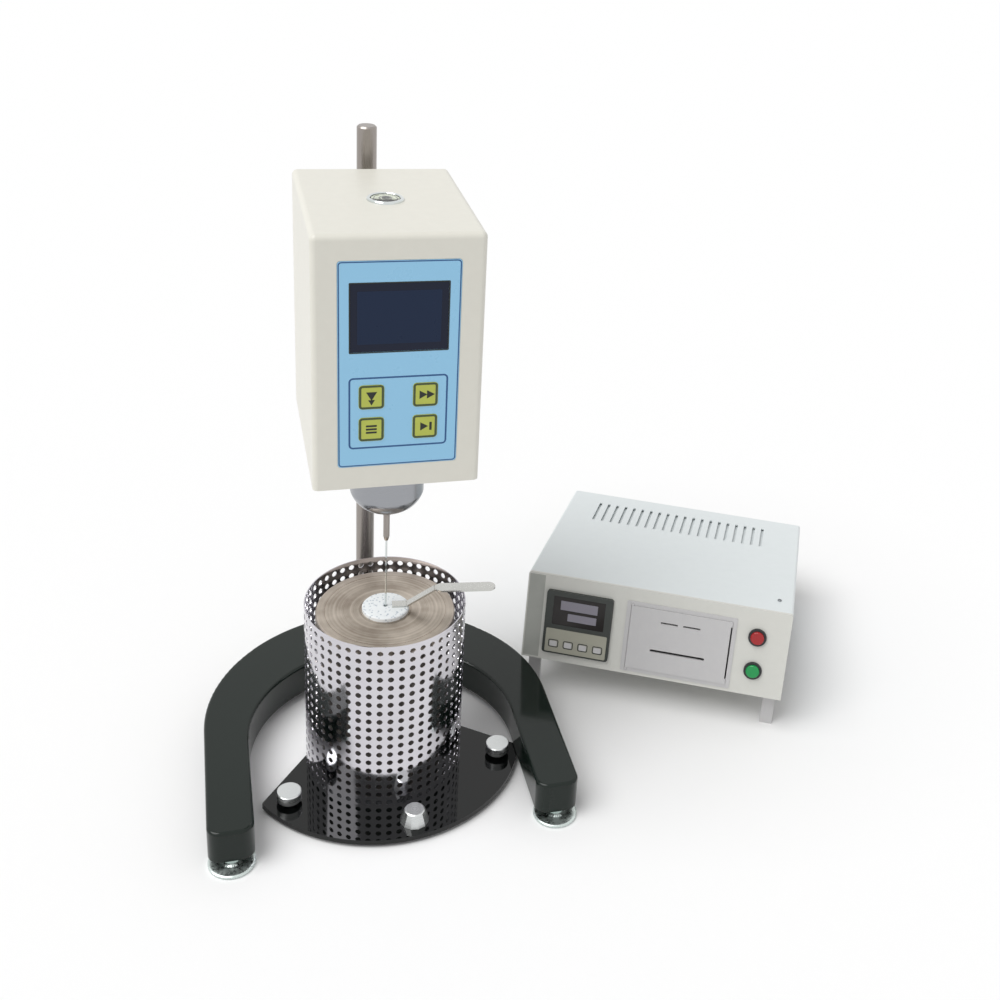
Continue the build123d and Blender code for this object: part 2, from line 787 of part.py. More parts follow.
# The shaft, from the coupling through both bearings up to the spring's hub.
with BuildPart() as shaft:
    add(turned(0, rotor_y, [
        (0, coupling_top - shaft_grip),
        (shaft_radius, coupling_top - shaft_grip),
        (shaft_radius, spring_z - 3),
        (spring_hub, spring_z - 3),
        (spring_hub, spring_z + spring_width + 1),
        (0, spring_z + spring_width + 1),
    ]))
shaft.part.label = "spindle_shaft"
export_step(shaft.part, "parts/spindle_shaft.step")

# The slotted disc that shows how far the spring has wound up.
with BuildPart() as encoder:
    with BuildSketch(rotor.offset(frame_deck + encoder_height)):
        Circle(encoder_radius)
        with PolarLocations(encoder_radius - 3, encoder_slots):
            Rectangle(3, 1.4, mode=Mode.SUBTRACT)
        Circle(shaft_radius, mode=Mode.SUBTRACT)
    extrude(amount=encoder_thickness)
    with BuildSketch(rotor.offset(frame_deck + encoder_height)):
        Circle(driver_hub_radius)
        Circle(shaft_radius, mode=Mode.SUBTRACT)
    extrude(amount=-4)
encoder.part.label = "encoder_disc"
export_step(encoder.part, "parts/encoder_disc.step")

# The torque spring: a flat spiral of half circles, from the hub out to the driver's pin.
spring_inner = spring_hub + spring_thickness / 2
spring_outer = spring_inner + 2 * spring_turns * spring_step
with BuildPart() as spring:
    with BuildSketch(rotor.offset(spring_z)):
        with BuildLine() as spiral:
            for half_turn in range(2 * spring_turns):
                side = 1 if half_turn % 2 == 0 else -1
                start_x = side * (spring_inner + half_turn * spring_step)
                end_x = -side * (spring_inner + (half_turn + 1) * spring_step)
                ThreePointArc(
                    (start_x, 0), ((start_x + end_x) / 2, side * abs(start_x - end_x) / 2), (end_x, 0)
                )
        trace(spiral.line, line_width=spring_thickness)
    extrude(amount=spring_width)
spring.part.label = "torque_spring"
export_step(spring.part, "parts/torque_spring.step")

# The driver with the motor's shaft, and the pin that holds the spring's outer end.
pin_x = spring_outer + spring_thickness / 2 + driver_pin_radius
with BuildPart() as driver:
    with BuildSketch(rotor.offset(driver_z)):
        Circle(driver_radius)
    extrude(amount=driver_thickness)
    with BuildSketch(rotor.offset(driver_z + driver_thickness)):
        Circle(driver_hub_radius)
    extrude(amount=driver_hub_height)
    with BuildSketch(Plane.XY.offset(spring_z - 0.5)):
        with Locations((pin_x, rotor_y)):
            Circle(driver_pin_radius)
    extrude(amount=driver_z - spring_z + 0.5)
    with BuildSketch(rotor.offset(driver_z + driver_thickness)):
        Circle(shaft_radius)
    extrude(amount=frame_top + motor_shaft_length - driver_z - driver_thickness)
driver.part.label = "spring_driver"
export_step(driver.part, "parts/spring_driver.step")

# The coupling below the nose: a collar, a slim body and a tapered tip.
collar_bottom = coupling_top - coupling_collar_height
with BuildPart() as coupling:
    add(turned(0, rotor_y, [
        (0, coupling_top),
        (coupling_collar_radius - 0.6, coupling_top),
        (coupling_collar_radius, coupling_top - 0.6),
        (coupling_collar_radius, collar_bottom + 0.6),
        (coupling_radius, collar_bottom - 0.6),
        (coupling_radius, coupling_bottom + coupling_tip_height),
        (coupling_tip_radius, coupling_bottom),
        (0, coupling_bottom),
    ]))
    with BuildSketch(rotor.offset(coupling_top)):
        Circle(shaft_radius)
    extrude(amount=-shaft_grip, mode=Mode.SUBTRACT)
    with BuildSketch(rotor.offset(coupling_bottom)):
        Circle(wire_radius)
    extrude(amount=wire_grip, mode=Mode.SUBTRACT)
coupling.part.label = "spindle_coupling"
export_step(coupling.part, "parts/spindle_coupling.step")

# The thin rod that hangs from the coupling and carries the rotor.
with BuildPart() as wire:
    with BuildSketch(rotor.offset(bob_top - wire_grip)):
        Circle(wire_radius)
    extrude(amount=wire_top - bob_top + wire_grip)
wire.part.label = "hanging_rod"
export_step(wire.part, "parts/hanging_rod.step")

# The rotor: a cylinder between two cones, with a neck on top.
bob_low = bob_bottom + bob_cone
with BuildPart() as bob:
    add(turned(0, rotor_y, [
        (0, bob_bottom),
        (1, bob_bottom),
        (bob_radius, bob_low),
        (bob_radius, bob_low + bob_body),
        (bob_neck_radius, bob_low + bob_body + bob_cone),
        (bob_neck_radius, bob_top),
        (0, bob_top),
    ]))
    with BuildSketch(rotor.offset(bob_top)):
        Circle(wire_radius)
    extrude(amount=-wire_grip, mode=Mode.SUBTRACT)
bob.part.label = "rotor_bob"
export_step(bob.part, "parts/rotor_bob.step")

# ================================================================ furnace

turn = radians(plate_turn)
plate_plane = Plane(
    origin=(0, rotor_y + plate_offset, plate_bottom), x_dir=(cos(turn), sin(turn), 0), z_dir=(0, 0, 1)
)
screw_angles = {
    "level_screw_left": -90 - screw_spread,
    "level_screw_front": -90,
    "level_screw_right": -90 + screw_spread,
}
screw_places = {
    name: (screw_circle * cos(radians(angle)), screw_circle * sin(radians(angle)))
    for name, angle in screw_angles.items()
}

# The plate: a disc with two straight edges at the back and a fixed stud under it.
with BuildPart() as plate:
    with BuildSketch(plate_plane) as plate_plan:
        Circle(plate_radius)
        with BuildLine():
            far = 2 * plate_radius
            Polyline((0, plate_cut), (-far, plate_cut - far), (far, plate_cut - far), close=True)
        make_face(mode=Mode.INTERSECT)
        fillet(plate_plan.vertices(), plate_tip_round)
        with Locations(*screw_places.values()):
            Circle(screw_radius + slip, mode=Mode.SUBTRACT)
    extrude(amount=plate_thickness)
    with BuildSketch(plate_plane):
        with Locations((0, plate_stud_y)):
            Circle(plate_stud_radius)
    extrude(amount=-plate_bottom)
plate.part.label = "furnace_plate"
export_step(plate.part, "parts/furnace_plate.step")

# The furnace's levelling screws: a pad on the floor, a stem through the plate and a knob.
for screw_name, place in screw_places.items():
    foot_plane = plate_plane.offset(-plate_bottom)
    is_front = screw_name == "level_screw_front"
    knob_top = plate_top + screw_neck_height + side_knob_height
    with BuildPart() as screw:
        with BuildSketch(foot_plane):
            with Locations(place):
                Circle(screw_pad_radius)
        extrude(amount=screw_pad_height)
        with BuildSketch(foot_plane.offset(screw_pad_height)):
            with Locations(place):
                Circle(screw_radius)
        extrude(amount=plate_top + loose - screw_pad_height)
        with BuildSketch(foot_plane.offset(plate_top + loose)):
            with Locations(place):
                if is_front:
                    RegularPolygon(front_knob_radius, 12)
                else:
                    Circle(screw_neck_radius)
        if is_front:
            slope = atan((front_knob_radius - front_knob_top_radius) / front_knob_height) * 180 / pi
            extrude(amount=front_knob_height, taper=slope)
        else:
            extrude(amount=screw_neck_height - loose)
            with BuildSketch(foot_plane.offset(plate_top + screw_neck_height)):
                with Locations(place):
                    Circle(side_knob_radius)
                    with PolarLocations(side_knob_radius + 0.9, knob_flutes):
                        with Locations(place):
                            Circle(1.3, mode=Mode.SUBTRACT)
            extrude(amount=side_knob_height)
        chamfer(screw.faces().sort_by(Axis.Z)[-1].outer_wire().edges(), 0.8)
    screw.part.label = screw_name
    export_step(screw.part, f"parts/{screw_name}.step")

# The dark ring that the furnace stands on. It keeps the guard in place.
with BuildPart() as ring:
    with BuildSketch(rotor.offset(plate_top)):
        Circle((guard_radius - guard_thickness) * cos(pi / guard_columns) - slip)
        Circle(ring_hole, mode=Mode.SUBTRACT)
    extrude(amount=ring_height)
ring.part.label = "furnace_base_ring"
export_step(ring.part, "parts/furnace_base_ring.step")

# The guard: a perforated sheet bent round the furnace, one flat for each column of holes.
pitch_angle = 360 / guard_columns
facet_width = 2 * guard_radius * sin(pi / guard_columns)
row_pitch = guard_height / guard_rows
facet_distance = guard_radius * cos(pi / guard_columns)
with BuildPart() as guard:
    with BuildSketch(rotor.offset(plate_top)):
        RegularPolygon(guard_radius, guard_columns)
        RegularPolygon(guard_radius - guard_thickness, guard_columns, mode=Mode.SUBTRACT)
    extrude(amount=guard_height)
    for column_index in range(guard_columns):
        angle = radians((column_index + 0.5) * pitch_angle)
        outward = (cos(angle), sin(angle), 0)
        facet = Plane(
            origin=(
                (facet_distance + 1) * cos(angle),
                rotor_y + (facet_distance + 1) * sin(angle),
                plate_top + guard_height / 2,
            ),
            x_dir=(-sin(angle), cos(angle), 0),
            z_dir=outward,
        )
        with BuildSketch(facet):
            with GridLocations(facet_width, row_pitch, 1, guard_rows):
                Rectangle(facet_width * guard_hole, row_pitch * guard_hole)
        extrude(amount=-guard_thickness - 2, mode=Mode.SUBTRACT)
guard.part.label = "guard"
export_step(guard.part, "parts/guard.step")

# The jacket, a plain steel tube inside the guard.
with BuildPart() as jacket:
    with BuildSketch(rotor.offset(ring_top)):
        Circle(jacket_radius)
        Circle(jacket_radius - jacket_thickness, mode=Mode.SUBTRACT)
    extrude(amount=jacket_height)
jacket.part.label = "furnace_jacket"
export_step(jacket.part, "parts/furnace_jacket.step")

# The insulation: a thick cup with a floor under the heater block.
with BuildPart() as insulation:
    with BuildSketch(rotor.offset(ring_top)):
        Circle(jacket_radius - jacket_thickness)
    extrude(amount=jacket_height)
    with BuildSketch(rotor.offset(ring_top + insulation_floor)):
        Circle(block_radius)
    extrude(amount=jacket_height, mode=Mode.SUBTRACT)
insulation.part.label = "furnace_insulation"
export_step(insulation.part, "parts/furnace_insulation.step")

# The heater block, bored for the sample tube.
tube_radius = tube_inner_radius + tube_wall
with BuildPart() as block:
    with BuildSketch(rotor.offset(ring_top + insulation_floor)):
        Circle(block_radius)
    extrude(amount=block_height)
    with BuildSketch(rotor.offset(tube_bottom)):
        Circle(tube_radius + slip)
    extrude(amount=block_height, mode=Mode.SUBTRACT)
    with BuildSketch(rotor.offset(block_top)):
        with PolarLocations(heater_circle, heater_count):
            Circle(heater_radius)
    extrude(amount=-heater_length, mode=Mode.SUBTRACT)
block.part.label = "heater_block"
export_step(block.part, "parts/heater_block.step")

# The cartridge heaters in the block.
with BuildPart() as heaters:
    with BuildSketch(rotor.offset(block_top - heater_length)):
        with PolarLocations(heater_circle, heater_count):
            Circle(heater_radius)
    extrude(amount=heater_length + 1)
heaters.part.label = "cartridge_heaters"
export_step(heaters.part, "parts/cartridge_heaters.step")

# The turned top plate, with a seat for the tube's flange and the lid's plug.
flange_bottom = furnace_top - lid_plug_length - tube_flange_thickness - loose
with BuildPart() as top_plate:
    add(turned(0, rotor_y, [
        (tube_radius + slip, jacket_top),
        (top_plate_radius, jacket_top),
        (top_plate_radius, furnace_top - 1),
        (top_plate_radius - 1, furnace_top),
        (tube_flange_radius + loose, furnace_top),
        (tube_flange_radius + loose, flange_bottom),
        (tube_radius + slip, flange_bottom),
    ]))
top_plate.part.label = "furnace_top_plate"
export_step(top_plate.part, "parts/furnace_top_plate.step")

# The sample tube, hung by its flange in the top plate.
with BuildPart() as tube:
    add(turned(0, rotor_y, [
        (0, tube_bottom),
        (tube_radius - 1, tube_bottom),
        (tube_radius, tube_bottom + 1),
        (tube_radius, flange_bottom),
        (tube_flange_radius, flange_bottom),
        (tube_flange_radius, flange_bottom + tube_flange_thickness),
        (tube_inner_radius, flange_bottom + tube_flange_thickness),
        (tube_inner_radius, tube_bottom + tube_floor),
        (0, tube_bottom + tube_floor),
    ]))
tube.part.label = "sample_tube"
export_step(tube.part, "parts/sample_tube.step")

# The insulating lid, with a plug in the top plate and a hole for the hanging rod.
lid_bottom = furnace_top + slip
with BuildPart() as lid:
    add(turned(0, rotor_y, [
        (lid_hole, lid_bottom - lid_plug_length),
        (tube_flange_radius - loose, lid_bottom - lid_plug_length),
        (tube_flange_radius - loose, lid_bottom),
        (lid_radius, lid_bottom),
        (lid_radius, lid_bottom + lid_thickness - 0.8),
        (lid_radius - 0.8, lid_bottom + lid_thickness),
        (lid_hole, lid_bottom + lid_thickness),
    ]))
lid.part.label = "furnace_lid"
export_step(lid.part, "parts/furnace_lid.step")

# The lid's handle: a strip bent up from the lid and cut narrow where it rises.
lid_top = lid_bottom + lid_thickness
handle_angle = radians(handle_turn)
along = (cos(handle_angle), sin(handle_angle), 0)
across = (sin(handle_angle), -cos(handle_angle), 0)
handle_side = Plane(origin=(0, rotor_y, lid_top), x_dir=along, z_dir=across)
handle_top = Plane(origin=(0, rotor_y, lid_top), x_dir=along, z_dir=(0, 0, 1))
with BuildPart() as handle:
    with BuildSketch(handle_side):
        with BuildLine() as handle_line:
            FilletPolyline(
                (handle_foot[0], handle_thickness / 2),
                (handle_foot[1], handle_thickness / 2),
                (handle_grip[0], handle_rise + handle_thickness / 2),
                (handle_grip[1], handle_rise + handle_thickness / 2),
                radius=4,
            )
        trace(handle_line.line, line_width=handle_thickness)
    extrude(amount=handle_grip_width, both=True)
    with BuildSketch(handle_top):
        foot_length = handle_foot[1] - handle_foot[0]
        grip_length = handle_grip[1] - handle_grip[0]
        with Locations((handle_foot[0] + foot_length / 2, 0)):
            Rectangle(foot_length, handle_foot_width)
        with Locations(((handle_foot[1] + handle_grip[0]) / 2, 0)):
            Rectangle(handle_grip[0] - handle_foot[1] + 14, handle_neck_width)
        with Locations(((handle_grip[0] + handle_grip[1]) / 2, 0)):
            SlotOverall(grip_length, handle_grip_width)
    extrude(amount=handle_rise + 2 * handle_thickness, mode=Mode.INTERSECT)
handle.part.label = "lid_handle"
export_step(handle.part, "parts/lid_handle.step")

# ================================================================ temperature controller

# Its own planes: u to the right, v to the back and w up. The box leans back on two front legs.
yaw, tilt = radians(box_yaw), radians(box_tilt)
box_u = Vector(cos(yaw), sin(yaw), 0)
box_v = Vector(-sin(yaw) * cos(tilt), cos(yaw) * cos(tilt), -sin(tilt))
box_w = box_u.cross(box_v)
box_floor = Plane(origin=box_corner, x_dir=box_u, z_dir=box_w)
box_face = Plane(origin=box_corner, x_dir=box_u, z_dir=-box_v)
box_left = Plane(origin=box_corner, x_dir=box_v, z_dir=box_u)

pid_u = pid_left + pid_size / 2
pid_w = pid_bottom + pid_size / 2
printer_u = printer_left + printer_width / 2
printer_w = printer_bottom + printer_height / 2
bay_width = printer_width - 2 * printer_frame
bay_height = printer_height - 2 * printer_frame

# The chassis: a tray with the rear panel, and ears below for the folding legs.
leg_places = {"leg_left": leg_inset, "leg_right": box_width - leg_inset}
ear_offset = leg_width / 2 + leg_side_gap + leg_ear / 2
with BuildPart() as chassis:
    with BuildSketch(box_floor):
        with Locations((box_width / 2, (front_thickness + box_depth) / 2)):
            Rectangle(box_width - 2 * sheet, box_depth - front_thickness)
    extrude(amount=sheet)
    with BuildSketch(box_floor.offset(sheet)):
        with Locations((box_width / 2, box_depth - sheet / 2)):
            Rectangle(box_width - 2 * sheet, sheet)
    extrude(amount=box_height - 2 * sheet)
    with BuildSketch(box_face.offset(-box_depth)):
        with Locations((inlet_u, inlet_w)):
            Rectangle(inlet_width, inlet_height)
    extrude(amount=sheet, mode=Mode.SUBTRACT)
    for u in leg_places.values():
        for side in (-1, 1):
            with BuildSketch(box_left.offset(u + side * ear_offset - leg_ear / 2)):
                with Locations((leg_v, -leg_pivot_drop / 2)):
                    Rectangle(2 * leg_pivot_drop, leg_pivot_drop)
                with Locations((leg_v, -leg_pivot_drop)):
                    Circle(leg_pivot_drop * 0.75)
                    Circle(leg_pin_radius + slip, mode=Mode.SUBTRACT)
            extrude(amount=leg_ear)
chassis.part.label = "controller_chassis"
export_step(chassis.part, "parts/controller_chassis.step")

# The cover: top and two sides of bent sheet, with a row of vent slots near the back.
with BuildPart() as cover:
    with BuildSketch(box_face.offset(-front_thickness)) as cover_end:
        with Locations((box_width / 2, box_height / 2)):
            Rectangle(box_width, box_height)
        fillet(cover_end.vertices().group_by(Axis.Y)[-1], cover_round)
        with Locations((box_width / 2, (box_height - sheet) / 2)):
            Rectangle(box_width - 2 * sheet, box_height - sheet, mode=Mode.SUBTRACT)
    extrude(amount=-(box_depth - front_thickness))
    with BuildSketch(box_floor.offset(box_height)):
        vent_pitch = vent_span / (vent_count - 1)
        with Locations((vent_left + vent_span / 2, vent_front + vent_length / 2)):
            with GridLocations(vent_pitch, 1, vent_count, 1):
                Rectangle(vent_width, vent_length)
    extrude(amount=-sheet, mode=Mode.SUBTRACT)
cover.part.label = "controller_cover"
export_step(cover.part, "parts/controller_cover.step")

# The front panel, with the cut-outs for the instruments in it.
with BuildPart() as front:
    with BuildSketch(box_face) as front_plan:
        with Locations((box_width / 2, box_height / 2)):
            Rectangle(box_width, box_height)
        fillet(front_plan.vertices().group_by(Axis.Y)[-1], cover_round)
        with Locations((pid_u, pid_w)):
            Rectangle(pid_body, pid_body, mode=Mode.SUBTRACT)
        with Locations((printer_u, printer_w)):
            Rectangle(bay_width + 2 * printer_wall, bay_height + 2 * printer_wall, mode=Mode.SUBTRACT)
        with Locations((button_u, stop_button_w), (button_u, run_button_w)):
            Circle(bezel_barrel, mode=Mode.SUBTRACT)
    extrude(amount=-front_thickness)
front.part.label = "controller_front"
export_step(front.part, "parts/controller_front.step")

# The temperature module: a square bezel, its body behind the panel and a sunk window.
with BuildPart() as pid:
    with BuildSketch(box_face):
        with Locations((pid_u, pid_w)):
            RectangleRounded(pid_size, pid_size, pid_round)
    extrude(amount=pid_proud)
    with BuildSketch(box_face):
        with Locations((pid_u, pid_w)):
            Rectangle(pid_body, pid_body)
    extrude(amount=-pid_body_depth)
    with BuildSketch(box_face.offset(pid_proud)):
        with Locations((pid_u, pid_w + pid_window_rise)):
            Rectangle(pid_window_width, pid_window_height)
    extrude(amount=-pid_window_depth, mode=Mode.SUBTRACT)
pid.part.label = "temperature_module"
export_step(pid.part, "parts/temperature_module.step")

with BuildPart() as pid_window:
    with BuildSketch(box_face.offset(pid_proud - pid_window_depth)):
        with Locations((pid_u, pid_w + pid_window_rise)):
            Rectangle(pid_window_width, pid_window_height)
    extrude(amount=pid_window_depth - 0.4)
pid_window.part.label = "module_window"
export_step(pid_window.part, "parts/module_window.step")

# The printer: a frame on the panel and an open bay for the paper roll behind its door.
door_right = printer_u + bay_width / 2 - door_gap
hinge_u = printer_u - bay_width / 2 + door_gap + door_thickness / 2
hinge_out = printer_proud + door_proud - door_thickness / 2
with BuildPart() as printer:
    with BuildSketch(box_face):
        with Locations((printer_u, printer_w)):
            RectangleRounded(printer_width, printer_height, 1.5)
    extrude(amount=printer_proud)
    with BuildSketch(box_face):
        with Locations((printer_u, printer_w)):
            Rectangle(bay_width + 2 * printer_wall, bay_height + 2 * printer_wall)
    extrude(amount=-printer_body_depth)
    with BuildSketch(box_face.offset(printer_proud)):
        with Locations((printer_u, printer_w)):
            Rectangle(bay_width, bay_height)
    extrude(amount=-(printer_body_depth + printer_proud - printer_wall), mode=Mode.SUBTRACT)
    for side in (-1, 1):
        ear_start = printer_w + side * bay_height / 2
        ear_plane = box_floor.offset(ear_start)
        with BuildSketch(ear_plane):
            with Locations((hinge_u, -hinge_out)):
                Circle(door_pin_radius + 0.9)
        extrude(amount=side * printer_wall)
        with BuildSketch(ear_plane):
            with Locations((hinge_u, -hinge_out)):
                Circle(door_pin_radius + slip)
        extrude(amount=side * (door_pin_length + 0.2), mode=Mode.SUBTRACT)
printer.part.label = "printer_module"
export_step(printer.part, "parts/printer_module.step")

# The printer's door, round at its hinge edge, with the paper slot and two finger slots.
door_height = bay_height - 2 * door_gap
with BuildPart() as door:
    with BuildSketch(box_floor.offset(printer_w - door_height / 2)):
        with Locations((hinge_u, -hinge_out)):
            Circle(door_thickness / 2)
            Rectangle(door_right - hinge_u, door_thickness, align=(Align.MIN, Align.CENTER))
    extrude(amount=door_height)
    with BuildSketch(box_floor.offset(printer_w - door_height / 2 - door_pin_length)):
        with Locations((hinge_u, -hinge_out)):
            Circle(door_pin_radius)
    extrude(amount=door_height + 2 * door_pin_length)
    with BuildSketch(box_face.offset(printer_proud + door_proud)):
        with Locations((printer_u - 12, printer_w + 21.5)):
            SlotOverall(18.6, 2)
        with Locations((printer_u + 12, printer_w + 21.5)):
            SlotOverall(18.6, 2)
        with Locations((printer_u, printer_w - 12)):
            SlotOverall(58.6, 3)
        with Locations((door_right, printer_w)):
            Rectangle(2 * door_catch, door_height - 12)
    extrude(amount=-door_thickness, mode=Mode.SUBTRACT)
door.part.label = "printer_door"
export_step(door.part, "parts/printer_door.step")

# The bezels of the two buttons.
with BuildPart() as bezels:
    with BuildSketch(box_face):
        with Locations((button_u, stop_button_w), (button_u, run_button_w)):
            Circle(bezel_radius)
    extrude(amount=bezel_proud)
    with BuildSketch(box_face):
        with Locations((button_u, stop_button_w), (button_u, run_button_w)):
            Circle(bezel_barrel)
    extrude(amount=-bezel_length)
    with BuildSketch(box_face.offset(bezel_proud)):
        with Locations((button_u, stop_button_w), (button_u, run_button_w)):
            Circle(button_radius + slip)
    extrude(amount=bezel_floor - bezel_proud - bezel_length, mode=Mode.SUBTRACT)
bezels.part.label = "button_bezels"
export_step(bezels.part, "parts/button_bezels.step")

for button_name, w in (("stop_button", stop_button_w), ("run_button", run_button_w)):
    with BuildPart() as button:
        with BuildSketch(box_face.offset(-button_inside)):
            with Locations((button_u, w)):
                Circle(button_radius)
        extrude(amount=button_inside + button_proud)
        fillet(button.faces().sort_by(Axis(box_corner, -box_v))[-1].edges(), 1.5)
    button.part.label = button_name
    export_step(button.part, f"parts/{button_name}.step")

# The folding front legs, cut level with the floor.
leg_reach = (box_corner[2] / cos(tilt)) + 6
for leg_name, u in leg_places.items():
    with BuildPart() as leg:
        with BuildSketch(box_left.offset(u - leg_width / 2)):
            with Locations((leg_v, -leg_pivot_drop)):
                Circle(leg_thickness / 2)
                Rectangle(leg_thickness, leg_reach - leg_pivot_drop, align=(Align.CENTER, Align.MAX))
        extrude(amount=leg_width)
        with BuildSketch(box_left.offset(u - ear_offset - leg_ear / 2)):
            with Locations((leg_v, -leg_pivot_drop)):
                Circle(leg_pin_radius)
        extrude(amount=2 * ear_offset + leg_ear)
        split(bisect_by=Plane.XY, keep=Keep.TOP)
    leg.part.label = leg_name
    export_step(leg.part, f"parts/{leg_name}.step")

# Two rubber pads under the back edge, also level with the floor.
with BuildPart() as pads:
    with BuildSketch(box_floor):
        with Locations((pad_inset, box_depth - pad_inset), (box_width - pad_inset, box_depth - pad_inset)):
            Circle(pad_radius)
    extrude(amount=-pad_height)
    split(bisect_by=Plane.XY, keep=Keep.TOP)
pads.part.label = "rear_pads"
export_step(pads.part, "parts/rear_pads.step")

# The mains inlet in the rear panel: a shell round three pins.
with BuildPart() as inlet:
    with BuildSketch(box_face.offset(-box_depth)):
        with Locations((inlet_u, inlet_w)):
            Rectangle(inlet_width + 2 * inlet_flange, inlet_height + 2)
    extrude(amount=-sheet)
    with BuildSketch(box_face.offset(-box_depth)):
        with Locations((inlet_u, inlet_w)):
            Rectangle(inlet_width, inlet_height)
    extrude(amount=inlet_depth)
    with BuildSketch(box_face.offset(-box_depth - sheet)):
        with Locations((inlet_u, inlet_w)):
            Rectangle(inlet_width - 2 * inlet_wall, inlet_height - 2 * inlet_wall)
    extrude(amount=inlet_depth + sheet - inlet_wall, mode=Mode.SUBTRACT)
    with BuildSketch(box_face.offset(-box_depth + inlet_depth - inlet_wall)):
        with Locations((inlet_u, inlet_w + 2), (inlet_u - 7, inlet_w - 2), (inlet_u + 7, inlet_w - 2)):
            Rectangle(2, 4)
    extrude(amount=-(inlet_depth + sheet - inlet_wall - inlet_pin_recess))
inlet.part.label = "mains_inlet"
export_step(inlet.part, "parts/mains_inlet.step")

# The transformer on the tray: a core with its coil.
with BuildPart() as transformer:
    with BuildSketch(box_floor.offset(sheet)):
        with Locations(transformer_place):
            Rectangle(transformer_size[0], transformer_size[1])
    extrude(amount=transformer_size[2])
    with BuildSketch(box_floor.offset(sheet + transformer_coil / 2)):
        with Locations(transformer_place):
            RectangleRounded(transformer_size[0] - 16, transformer_size[1] + 2 * transformer_coil, 6)
    extrude(amount=transformer_size[2] - transformer_coil)
transformer.part.label = "transformer"
export_step(transformer.part, "parts/transformer.step")
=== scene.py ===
"""Finished model of a rotational viscometer with its furnace and temperature controller."""

import json
import logging
import math
from dataclasses import dataclass, field, replace
from enum import Enum
from typing import Iterable, Sequence

import bmesh
import bpy
from mathutils import Matrix, Vector

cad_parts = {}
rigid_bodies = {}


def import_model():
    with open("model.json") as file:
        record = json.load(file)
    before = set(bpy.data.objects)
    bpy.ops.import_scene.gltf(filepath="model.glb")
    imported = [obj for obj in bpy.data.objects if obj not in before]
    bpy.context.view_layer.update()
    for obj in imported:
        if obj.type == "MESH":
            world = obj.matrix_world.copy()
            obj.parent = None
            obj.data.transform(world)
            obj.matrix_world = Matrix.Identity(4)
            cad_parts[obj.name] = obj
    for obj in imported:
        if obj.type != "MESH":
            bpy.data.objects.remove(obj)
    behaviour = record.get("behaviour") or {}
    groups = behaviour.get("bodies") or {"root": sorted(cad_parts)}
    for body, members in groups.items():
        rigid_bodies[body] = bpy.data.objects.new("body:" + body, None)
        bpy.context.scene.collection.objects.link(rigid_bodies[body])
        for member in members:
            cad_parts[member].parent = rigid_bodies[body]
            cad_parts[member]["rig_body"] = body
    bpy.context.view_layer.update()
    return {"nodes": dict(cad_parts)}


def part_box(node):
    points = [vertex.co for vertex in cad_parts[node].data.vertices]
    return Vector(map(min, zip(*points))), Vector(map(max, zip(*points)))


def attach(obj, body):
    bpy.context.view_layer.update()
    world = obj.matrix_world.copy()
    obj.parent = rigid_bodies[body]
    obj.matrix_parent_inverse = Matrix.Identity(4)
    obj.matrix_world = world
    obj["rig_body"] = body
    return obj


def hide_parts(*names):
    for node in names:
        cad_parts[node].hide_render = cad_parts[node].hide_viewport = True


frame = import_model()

log = logging.getLogger("viscometer")
logging.basicConfig(level=logging.INFO, format="%(message)s")

MM = 0.001
Point = tuple[float, float, float]
Socket = bpy.types.NodeSocket


# ------------------------------------------------------------------ colours and nodes


def linear(hex_colour: str, alpha: float = 1.0) -> tuple[float, float, float, float]:
    """Turn an sRGB hex colour to linear values.

    Args:
        hex_colour: Six hex digits, such as "8fc0e0".
        alpha: The alpha to add.

    Returns:
        Red, green, blue and alpha.
    """
    parts = [int(hex_colour[i : i + 2], 16) / 255 for i in (0, 2, 4)]
    red, green, blue = (c / 12.92 if c <= 0.04045 else ((c + 0.055) / 1.055) ** 2.4 for c in parts)
    return (red, green, blue, alpha)


def add_node(
    tree: bpy.types.NodeTree, kind: str, settings: dict | None = None, links: dict | None = None
) -> bpy.types.Node:
    """Add a node with its settings, socket values and links.

    Args:
        tree: The node tree.
        kind: The node's class name.
        settings: Attribute names of the node and their values.
        links: Input names or indexes, each with a value or an output socket.

    Returns:
        The new node.
    """
    node = tree.nodes.new(kind)
    for key, value in (settings or {}).items():
        setattr(node, key, value)
    for key, value in (links or {}).items():
        if isinstance(value, bpy.types.NodeSocket):
            tree.links.new(value, node.inputs[key])
        else:
            node.inputs[key].default_value = value
    return node


class Pattern(Enum):
    """How a surface was made, which decides its fine pattern."""

    SMOOTH = "smooth"
    GRAINED = "grained"
    BRUSHED_Z = "brushed along Z"
    TURNED = "turned about Z"
    SPECKLED = "speckled"


